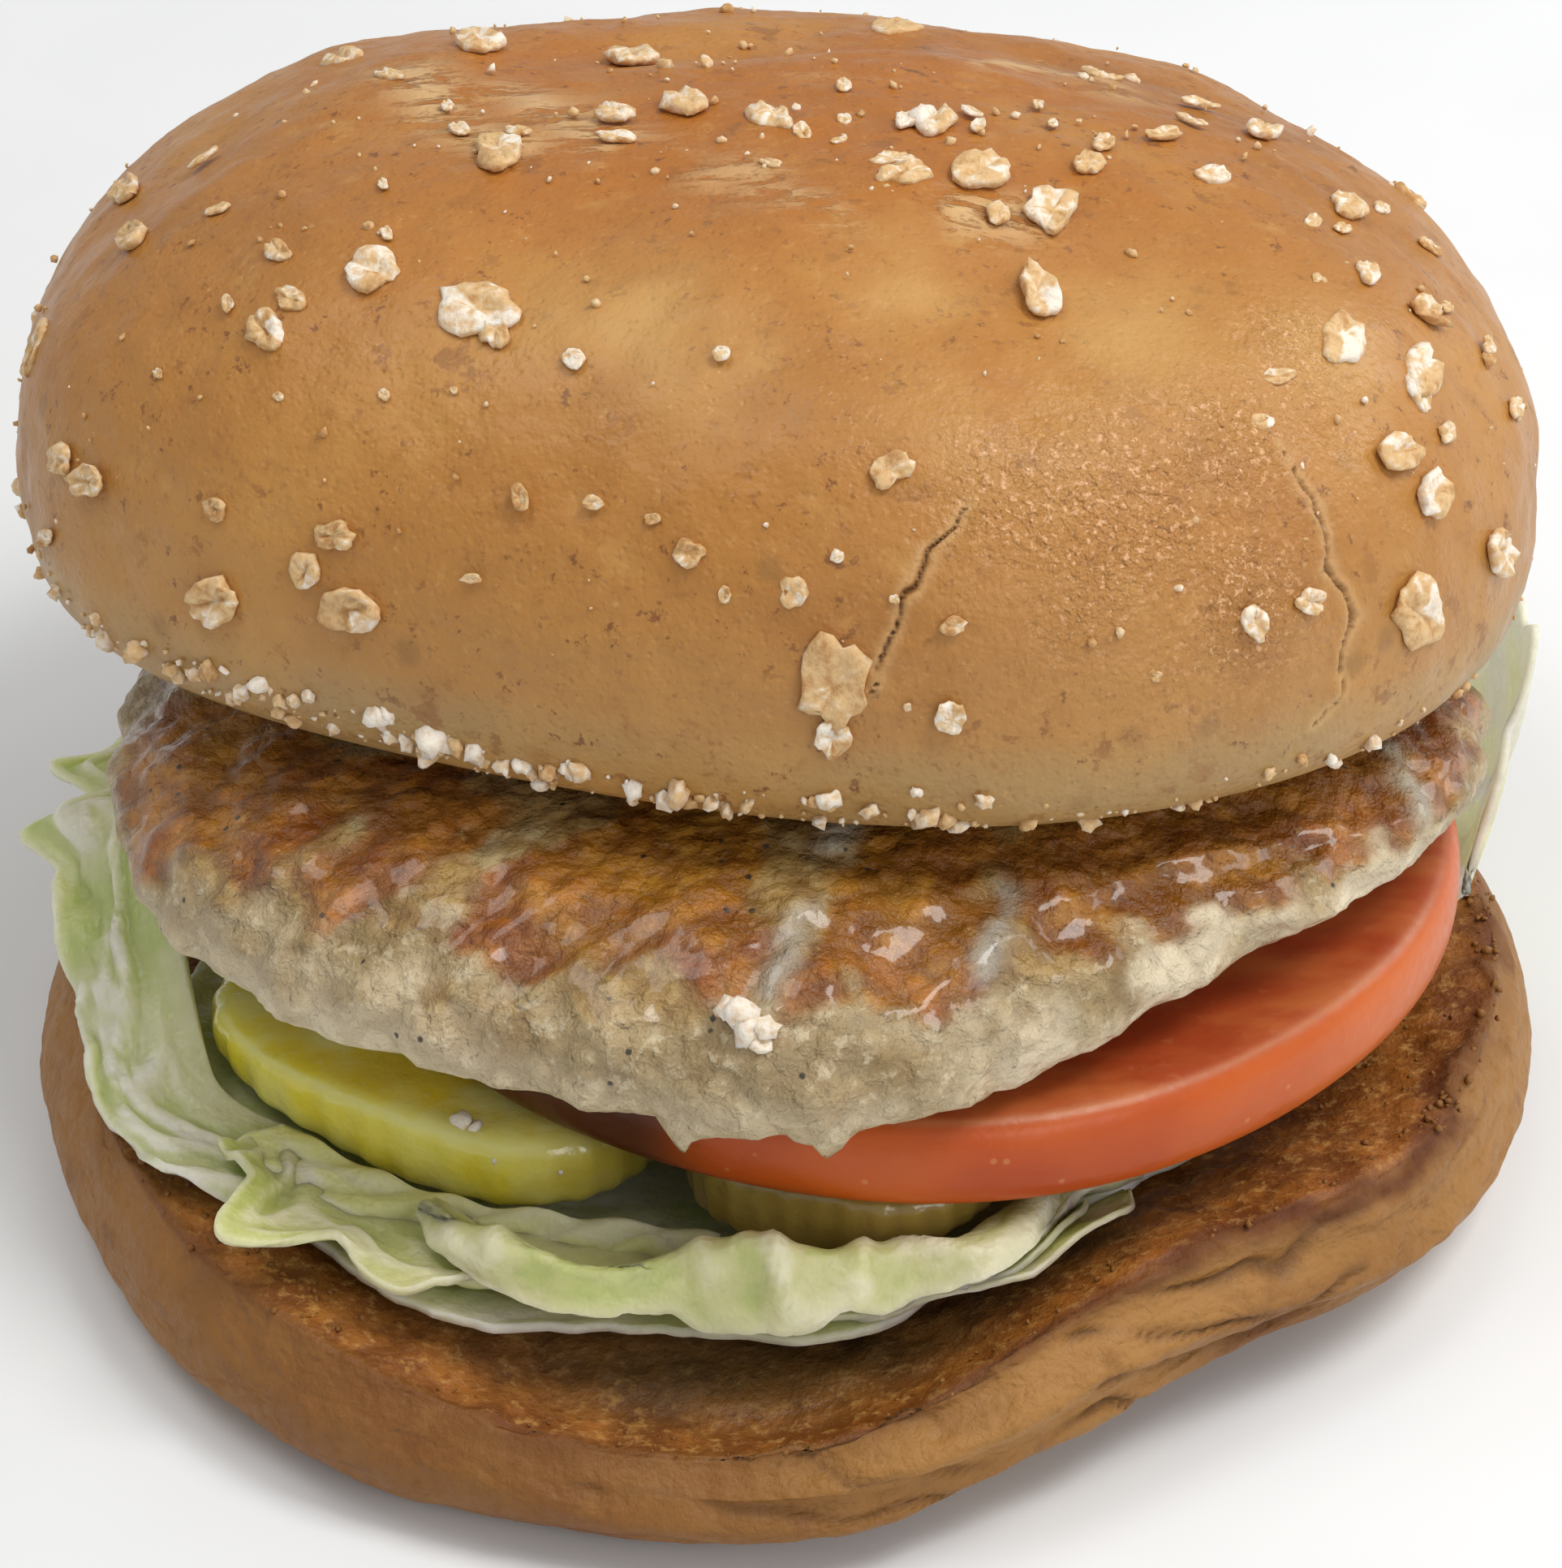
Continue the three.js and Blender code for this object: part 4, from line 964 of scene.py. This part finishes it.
def dome_point(angle, climb):
    """The plain dome. Climb is -1 at the cut edge, 0 at the widest line and 1 at the top."""
    belly, height, fullness = CROWN["belly"], CROWN["height"], CROWN["fullness"]
    bend = np.maximum(climb, 0) * np.pi / 2
    under = np.minimum(climb, 0) * np.pi / 2
    radius = CROWN["radius"] * np.cos(bend) ** fullness - CROWN["undercut"] * (1 - np.cos(under))
    rise = belly + (height - belly) * np.sin(bend) ** fullness + belly * np.sin(under)
    return around(angle, radius, rise)


def shape_crown(points):
    """Gives points of the plain dome the real bun's uneven outline and dents."""
    x, y, z = np.moveaxis(np.array(points, float), -1, 0)
    angle = angle_of(x, y)
    share = np.hypot(x, y) / CROWN["radius"]
    spread = 1 + lobes(angle, CROWN["lobes"]) * smoothstep(share, 0.2, 1)
    x, y = x * spread, y * spread * CROWN["depth"]
    on_top = smoothstep(z, CROWN["belly"], CROWN["height"] * 0.8)
    crease = CROWN["crease"]
    off = (y - crease["at"][1] - crease["slope"] * x) / crease["width"]
    ending = 1 - smoothstep(np.abs(x - crease["at"][0]), crease["starts"], crease["ends"])
    dip = crease["depth"] * hump(off, 0, 1) * ending
    swell = CROWN["swell"] * unevenness(x, y, 0, CROWN["swell_length"], 0.4)
    pressed = np.where(z < 0.01, CROWN["hollow"] * (1 - smoothstep(share, 0.35, 0.9)), 0)
    return np.stack([x, y, z + on_top * (swell - dip) + pressed], -1)


# Cracks in the crust: [angle, climb] along each, and how wide it gapes in millimetres.
CRACKS = [
    dict(gape=0.2, line=[
        [13.5, 0.29], [12, 0.25], [10, 0.21], [9.4, 0.18], [8.4, 0.155], [7.4, 0.1], [6.6, 0.04],
    ]),
    dict(gape=0.15, line=[
        [40, 0.33], [41, 0.27], [42, 0.2], [41.6, 0.155], [42.4, 0.11], [43, 0.065], [42, 0.0],
        [40, -0.2],
    ]),
]
# Where the crust is rubbed pale in streaks: [angle, climb] along each.
SCUFFS = [
    [
        [-89.5, 0.81], [-65, 0.85], [-37, 0.84], [-18.5, 0.84], [-2, 0.8], [11, 0.756], [23, 0.75],
        [33.5, 0.73],
    ],
    [[143.5, 0.97], [130, 0.9], [128.5, 0.8], [113.5, 0.74]],
    [[-100, 0.72], [-80, 0.76], [-60, 0.78]],
]
# Where the crust has a sugary grain, bumpier and glossier, with pale specks painted on it as
# glints: [angle, climb, radius].
GLINTS = [[26, 0.26, 9], [31, 0.14, 7], [21, 0.33, 7], [35, 0.34, 6], [46, 0.36, 4], [48, 0.44, 4]]
# Painted highlights: soft spots where the crust is painted paler, standing for the lamps' broad
# reflections: [angle, climb, radius].
SHEENS = [
    [-17, 0.54, 7], [-10, 0.5, 6], [-22, 0.5, 5], [19, 0.46, 7], [13, 0.62, 6], [50, 0.38, 7],
    [35, 0.52, 9],
]


def near_spots(points, spots):
    """1 at the middle of a spot on the crown, fading to 0 beyond its radius."""
    near = 0
    for angle, climb, radius in spots:
        away = np.linalg.norm(points - shape_crown(dome_point(angle, climb)), axis=1)
        near = np.maximum(near, hump(away, 0, radius))
    return near


def make_crown():
    under = [[share * (CROWN["radius"] - CROWN["undercut"]), 0] for share in np.linspace(0, 1, 42)]
    side = [dome_point(90, climb)[[0, 2]] for climb in np.linspace(-0.92, -0.08, 9)]
    dome = [dome_point(90, climb)[[0, 2]] for climb in np.linspace(0, 1, 92)]
    dome[-1][0] = 0
    skin = turned([*under, *side, *dome], STEPS["crown"])
    lines = []
    for crack in CRACKS:
        walk = np.array(crack["line"], float)
        steps = np.linspace(0, len(walk) - 1, 60)
        angle, climb = (np.interp(steps, range(len(walk)), walk[:, k]) for k in (0, 1))
        lines.append(dome_point(angle, climb))
    for line in lines:
        skin.verts.ensure_lookup_table()
        spots = np.array([v.co for v in skin.verts])
        _, distance, _ = near_line(spots, line, 1)
        close = {skin.verts[i] for i in np.nonzero(distance < 2.2)[0]}
        edges = [e for e in skin.edges if e.verts[0] in close and e.verts[1] in close]
        bmesh.ops.subdivide_edges(skin, edges=edges, cuts=3, use_grid_fill=True)
    mesh = meshed("crown", skin)
    plain = points_of(mesh)
    risen = np.clip((plain[:, 2] - CROWN["belly"]) / (CROWN["height"] - CROWN["belly"]), 0, 1)
    climb = np.arcsin(risen ** (1 / CROWN["fullness"])) / (np.pi / 2)
    climb = np.where(plain[:, 2] < CROWN["belly"], plain[:, 2] / CROWN["belly"] - 1, climb)
    move_to(mesh, shape_crown(plain))
    points = points_of(mesh)
    outside = smoothstep(plain[:, 2], 0.2, 2.5)
    relief = 0.55 * grain(points, 22, 4, 2) + 0.3 * grain(points, 7, 5, 3)
    relief += 0.12 * grain(points, 2.2, 6, 2)
    crack, lip = np.zeros(len(points)), np.zeros(len(points))
    jitter = np.stack([grain(points, 3.2, seed, 2) for seed in (11, 12, 13)], 1)
    jitter -= normals_of(mesh) * np.sum(jitter * normals_of(mesh), axis=1)[:, None]
    shaken = shape_crown(plain) + 0.9 * jitter
    for line, kind in zip(lines, CRACKS):
        _, distance, share = near_line(shaken, shape_crown(line), 1)
        gape = kind["gape"] * np.sin(np.pi * np.clip(share * 0.94 + 0.03, 0, 1)) ** 0.5
        crack = np.maximum(crack, hump(distance, 0, gape))
        lip = np.maximum(lip, hump(distance, 2.2 * gape, 0.5) * (distance < 3))
    raise_by(mesh, outside * (relief - 0.1) - 0.8 * crack + 0.1 * lip)
    mark(mesh, "climb", climb)
    # Painted shade: the crack is painted dark brown in its groove.
    mark(mesh, "crack", 0.9 * crack)
    mark(mesh, "lip", 0.35 * lip * (1 - crack))
    scuffed = 0
    for line in SCUFFS:
        angle, off_climb = np.array(line, float).T
        close, _, _ = near_line(points, shape_crown(dome_point(angle, off_climb)), 3.2)
        scuffed = np.maximum(scuffed, close)
    mark(mesh, "scuff", 0.9 * scuffed * smoothstep(grain(points, 12, 16, 2), -0.6, -0.15))
    uneven = 1 + 0.9 * grain(points, 8, 15, 3)
    # Partly painted highlights: the grain is bumpier and glossier, and its pale specks are painted
    # glints.
    mark(mesh, "glint", np.clip(1.2 * near_spots(points, GLINTS) * uneven, 0, 1))
    # Painted highlights: the crust is painted paler in soft spots where the lamps reflect.
    mark(mesh, "sheen", np.clip(0.42 * near_spots(points, SHEENS) * uneven, 0, 1))
    move_to(mesh, settled(points_of(mesh), **CROWN))
    shown("crown_of_bun", mesh, crust_finish(), "bun_crown")


def seeded(seed):
    """The same run of even numbers between 0 and 1 as in the CAD source."""
    state = seed
    while True:
        state = state * 16807 % 2147483647
        yield state / 2147483647


def all_flakes():
    """The placed flakes, then the strewn ones, as in the CAD source."""
    flakes = [list(flake) for flake in FLAKES]
    numbers = seeded(11)
    for i in range(STREWN["tried"]):
        share = (i + 0.5) / STREWN["tried"]
        angle = i * STREWN["spiral"] + 20 * next(numbers)
        climb = 0.03 + 0.93 * (1 - math.sqrt(next(numbers)))
        length = lerp(*STREWN["sizes"], share) * (0.9 + 0.2 * next(numbers))
        width = length * (0.55 + 0.3 * next(numbers))
        turn = math.pi * next(numbers)
        spot = dome_point(angle, climb)
        bare = lobe(angle, -4, 62) > 0.1 and climb < 0.7
        near = any(np.linalg.norm(dome_point(f[0], f[1]) - spot) < STREWN["apart"] for f in flakes)
        if not bare and not near:
            flakes.append([angle, climb, length, width, turn, (i * 0.37) % 1])
    return flakes


def seat_on_crown(angle, climb):
    """Where a topping lies on the crown, with the directions round, up and out of it."""
    step = 0.01
    seat = shape_crown(dome_point(angle, climb))
    aside = shape_crown(dome_point(angle + 100 * step, climb)) - seat
    upwards = shape_crown(dome_point(angle, climb + step)) - seat
    aside, upwards = aside / np.linalg.norm(aside), upwards / np.linalg.norm(upwards)
    outwards = np.cross(aside, upwards)
    return seat, aside, upwards, outwards / np.linalg.norm(outwards)


def scattered(name, bits, finish, make_bit):
    """One mesh of many bits. make_bit(skin, bit) adds one and gives the paleness of its points."""
    skin = bmesh.new()
    paleness = []
    for bit in bits:
        paleness += make_bit(skin, bit)
    bmesh.ops.recalc_face_normals(skin, faces=skin.faces)
    mesh = meshed(name, skin)
    mark(mesh, "paleness", paleness)
    shown(name, mesh, finish)


def make_oats(finish):
    """The rolled oats: thin curled ovals with a groove along them and torn, whitish edges."""
    rough = random.Random(5)

    def add(skin, bit):
        angle, climb, length, width, turn, pale = bit
        seat, aside, upwards, outwards = seat_on_crown(angle, climb)
        along = aside * math.cos(turn) + upwards * math.sin(turn)
        along /= np.linalg.norm(along)
        across = np.cross(along, outwards)
        made = bmesh.ops.create_uvsphere(
            skin, u_segments=22 if length > 2.5 else 14, v_segments=10, radius=0.5,
        )["verts"]
        shift = Vector([rough.random() * 90 for _ in range(3)])
        thick = min(0.75 * STREWN["thickness"], 0.3 * width)
        curl = 0.3 * rough.random()
        shades = []
        for vert in made:
            x, y, z = vert.co
            out = 2 * math.hypot(x, y)
            torn = 1 + 0.42 * out * noise.fractal(Vector((x, y, 0)) * 2.2 + shift, 1, 2, 4)
            crumpled = noise.fractal(Vector((x * 2.4, y * 5, 0)) + shift, 1, 2, 3)
            groove = 0.28 * math.exp(-((y / 0.07) ** 2)) * (z > 0)
            body = math.copysign(min(abs(z) * 1.9, 0.5), z)
            rise = body - groove + 0.55 * crumpled * (z > -0.1) + curl * out * out
            place = along * x * length * torn + across * y * width * torn
            place = place + outwards * (thick * rise + STREWN["raised"])
            vert.co = Vector(settled(seat + place, **CROWN))
            rim = 0.2 * max(0, out - 0.75) / 0.25 if z > -0.1 else 0
            shades.append(0.85 * pale + rim + 0.5 * crumpled)
        return shades

    scattered("rolled_oats", all_flakes() + SMALL_FLAKES, finish, add)


# Where fine crumbs of oat lie: [lowest angle, highest angle, lowest climb, highest climb,
# how many, smallest size, largest size, paleness].
CRUMB_BANDS = [
    [-66, -24, -0.62, -0.3, 70, 0.4, 1.8, 0.6],
    [-30, 16, -0.8, -0.4, 80, 0.4, 1.7, 0.6],
    [16, 64, -0.8, -0.4, 34, 0.4, 1.3, 0.5],
    [64, 296, -0.6, 0.3, 130, 0.4, 1.6, 0.4],
    [-90, 90, 0.62, 0.97, 70, 0.3, 1.1, 0.55],
    [90, 270, 0.4, 0.97, 90, 0.3, 1.4, 0.5],
    [-70, -20, 0.1, 0.6, 26, 0.3, 1, 0.4],
    [20, 80, 0.05, 0.6, 40, 0.3, 1, 0.45],
    [-30, 30, 0.02, 0.5, 16, 0.3, 0.8, 0.5],
]
# Larger broken bits along the lower edge: [angle, climb, size, paleness].
EDGE_BITS = [
    [-55.5, -0.4, 2.4, 0.5], [-49, -0.41, 1.6, 0.6], [-44.5, -0.42, 2, 0.8],
    [-39.5, -0.38, 1.6, 0.7],
    [-31.8, -0.34, 2.2, 1], [-30.8, -0.31, 1.7, 1], [-27.2, -0.42, 2.5, 1],
    [-26.4, -0.45, 1.7, 0.9],
    [-23.5, -0.47, 1.6, 0.9], [-21.5, -0.53, 1.7, 0.8], [-19, -0.6, 1.3, 0.6],
    [-15, -0.47, 1.7, 0.6],
    [-7, -0.52, 2.2, 0.6], [-4.5, -0.6, 1.6, 0.7], [4, -0.44, 2, 0.8], [7, -0.53, 1.3, 0.7],
    [10, -0.33, 1.2, 0.9], [11, -0.57, 2, 0.7], [13.5, -0.7, 1.5, 0.8], [23.5, -0.86, 1.8, 0.5],
    [43.5, -0.57, 1.4, 1], [48, -0.56, 1.3, 0.8],
]
# Bits that fell on the patty and on the pickle: [x, y, z, size, paleness].
FALLEN_BITS = [
    [-2.9, -44.6, 42.3, 3, 0.9], [-1.2, -45.2, 41.5, 2.6, 0.95], [-3.9, -44.3, 42.3, 2, 0.8],
    [-1.6, -45.9, 40.4, 2.1, 0.85], [-2.4, -45.4, 41.2, 2.4, 0.9], [-24.1, -31, 21, 1.5, 1],
    [-23.2, -31.6, 20.7, 1.2, 1], [-24.8, -30.8, 21.1, 0.9, 0.9], [-21.5, -33.8, 19.4, 0.7, 0.9],
    [-16.7, -34, 18.4, 0.6, 0.9],
]


def add_bit(skin, bit):
    """Adds one crumb: a small lumpy ball, turned and squeezed."""
    middle, size, pale, turn, shape = bit
    finer = 2 if size > 1.1 else 1
    made = bmesh.ops.create_icosphere(skin, subdivisions=finer, radius=0.5)["verts"]
    shades = []
    for vert in made:
        lump = noise.fractal(vert.co * 3 + Vector(middle), 1, 2, 3)
        shaped = Vector([c * s for c, s in zip(vert.co, shape)]) * size * (1 + 0.6 * lump)
        vert.co = Vector(middle + np.array(turn @ shaped))
        shades.append(pale + 0.3 * lump)
    return shades


def tumbled(draw, middle, size, pale, narrowest):
    """A crumb for add_bit(), turned any way and squeezed along its axes."""
    turn = Euler([draw.uniform(0, FULL_TURN) for _ in range(3)]).to_matrix()
    return middle, size, pale, turn, [draw.uniform(narrowest, 1.2) for _ in range(3)]


def make_crumbs(finish):
    """Fine broken oats and crumbs stuck to the crown, and a few that fell off it."""
    draw = random.Random(8)

    def bit_at(middle, size, pale):
        return tumbled(draw, middle, size, pale, 0.6)

    def bit_on_crown(angle, climb, size, pale):
        seat, _, _, outwards = seat_on_crown(angle, climb)
        return bit_at(settled(seat + outwards * size * 0.06, **CROWN), size, pale)

    bits = [bit_on_crown(*bit) for bit in EDGE_BITS]
    bits += [bit_at(np.array(bit[:3]), *bit[3:]) for bit in FALLEN_BITS]
    for low, high, bottom, top, count, small, large, pale in CRUMB_BANDS:
        for _ in range(count):
            angle, climb = draw.uniform(low, high), draw.uniform(bottom, top)
            size = small + (large - small) * draw.random() ** 2.6
            bits.append(bit_on_crown(angle, climb, size, pale + draw.uniform(-0.4, 0.4)))

    scattered("oat_crumbs", bits, finish, add_bit)


# Where toasted crumbs lie on the heel: [lowest angle, highest angle, nearest and farthest share of
# its radius, how many, smallest size, largest size].
TOASTED_BANDS = [
    [50, 122, 0.915, 0.955, 130, 0.3, 1.1], [56, 118, 0.74, 0.92, 70, 0.3, 0.8],
    [-62, -36, 0.86, 0.95, 46, 0.3, 1.1], [-34, 46, 0.88, 0.955, 60, 0.3, 0.8],
    [122, 298, 0.87, 0.955, 90, 0.3, 1],
]


def make_toasted_crumbs(finish):
    """Brown crumbs that came off the cut edge of the heel and lie along it."""
    draw = random.Random(3)
    bits = []
    for low, high, near, far, count, small, large in TOASTED_BANDS:
        for _ in range(count):
            angle, share = draw.uniform(low, high), draw.uniform(near, far)
            size = small + (large - small) * draw.random() ** 2.2
            x, y, _ = around(angle, share * heel_radius(angle), 0)
            height = heel_top(x, y) - heel_hollow(x, y) + 0.1 * size
            bits.append(tumbled(draw, np.array([x, y, height]), size, 0, 0.5))
    scattered("toasted_crumbs", bits, finish, add_bit)


# ---- The burger ----------------------------------------------------------------------------------

crust, oat = heel_finish(), oat_finish()
make_heel(crust)
make_leaves()
make_pickle("pickle_left", pickle_finish("pickle_yellow", "f4dc42", "fbf09c", "86712c"))
# The front pickle is a darker copy of the pickle: painted shade, as it lies in the tomato's shadow.
make_pickle("pickle_front", pickle_finish("pickle_painted_shade", "ae9146", "ccb46c", "9c823e"))
make_tomato()
make_patty()
make_crown()
make_oats(oat)
make_crumbs(oat)
make_toasted_crumbs(crust)

# ---- Floor, light and camera, in metres ----------------------------------------------------------

FLOOR = 3
WARM, WHITE = (1, 0.98, 0.94), (1, 1, 1)
CENTRE = (0, 0, 0.05)
# Each lamp: its place, what it points at, its size, its power in watts and its colour.
LAMPS = {
    "ceiling_left": ((-0.35, 0.0, 0.9), CENTRE, (0.5, 0.35), 1.9, WARM),
    "ceiling_right": ((0.4, -0.1, 0.85), CENTRE, (0.35, 0.35), 4.0, WARM),
    "front_right": ((0.5, -0.75, 0.5), (0, 0, 0.03), (0.5, 0.4), 2.0, WHITE),
    "back_right": ((0.5, 0.25, 0.28), (0.05, 0.02, 0.03), (0.25, 0.25), 0.7, WHITE),
}
SKY = 0.42
# The camera: degrees above the table, metres from its aim, and a lens as long as the real one.
CAMERA = dict(elevation=36, distance=0.42, aim=(0, 0, 0.03), sensor=36, lens=36 * 6510 / 1932)


def make_floor():
    skin = bmesh.new()
    bmesh.ops.create_grid(skin, x_segments=1, y_segments=1, size=FLOOR)
    mesh = meshed("floor", skin)
    finish = Finish("pale_floor")
    tone = finish.layered("eceef0", (finish.cloud(40, 2), 0.3, 0.7, 1, "eff1f3"))
    mesh.materials.append(finish.surface(tone, 0.8))
    floor = bpy.data.objects.new("floor", mesh)
    bpy.context.scene.collection.objects.link(floor)


def aimed(name, data, place, facing):
    """Puts a lamp or camera in place and turns it to face that way."""
    thing = bpy.data.objects.new(name, data)
    thing.location = place
    thing.rotation_euler = facing.to_track_quat("-Z", "Y").to_euler()
    bpy.context.scene.collection.objects.link(thing)
    return thing


def make_lamp(name, place, towards, size, power, tint):
    light = bpy.data.lights.new(name, "AREA")
    light.shape = "RECTANGLE"
    light.size, light.size_y = size
    light.energy = power
    light.color = tint
    aimed(name, light, place, Vector(towards) - Vector(place))


def make_camera():
    """At the front, as far off as the real camera was."""
    elevation = math.radians(CAMERA["elevation"])
    eye = bpy.data.cameras.new("camera")
    eye.sensor_width = CAMERA["sensor"]
    eye.lens = CAMERA["lens"]
    eye.clip_start = 0.01
    back = Vector((0, -math.cos(elevation), math.sin(elevation)))
    place = Vector(CAMERA["aim"]) + back * CAMERA["distance"]
    bpy.context.scene.camera = aimed("camera", eye, place, -back)


def make_sky():
    sky = bpy.data.worlds.new("studio")
    sky.use_nodes = True
    sky.node_tree.nodes["Background"].inputs["Color"].default_value = (1, 1, 1, 1)
    sky.node_tree.nodes["Background"].inputs["Strength"].default_value = SKY
    bpy.context.scene.world = sky


make_floor()
for lamp, settings in LAMPS.items():
    make_lamp(lamp, *settings)
make_camera()
make_sky()
bpy.context.scene.view_settings.view_transform = "Standard"

bpy.context.view_layer.update()
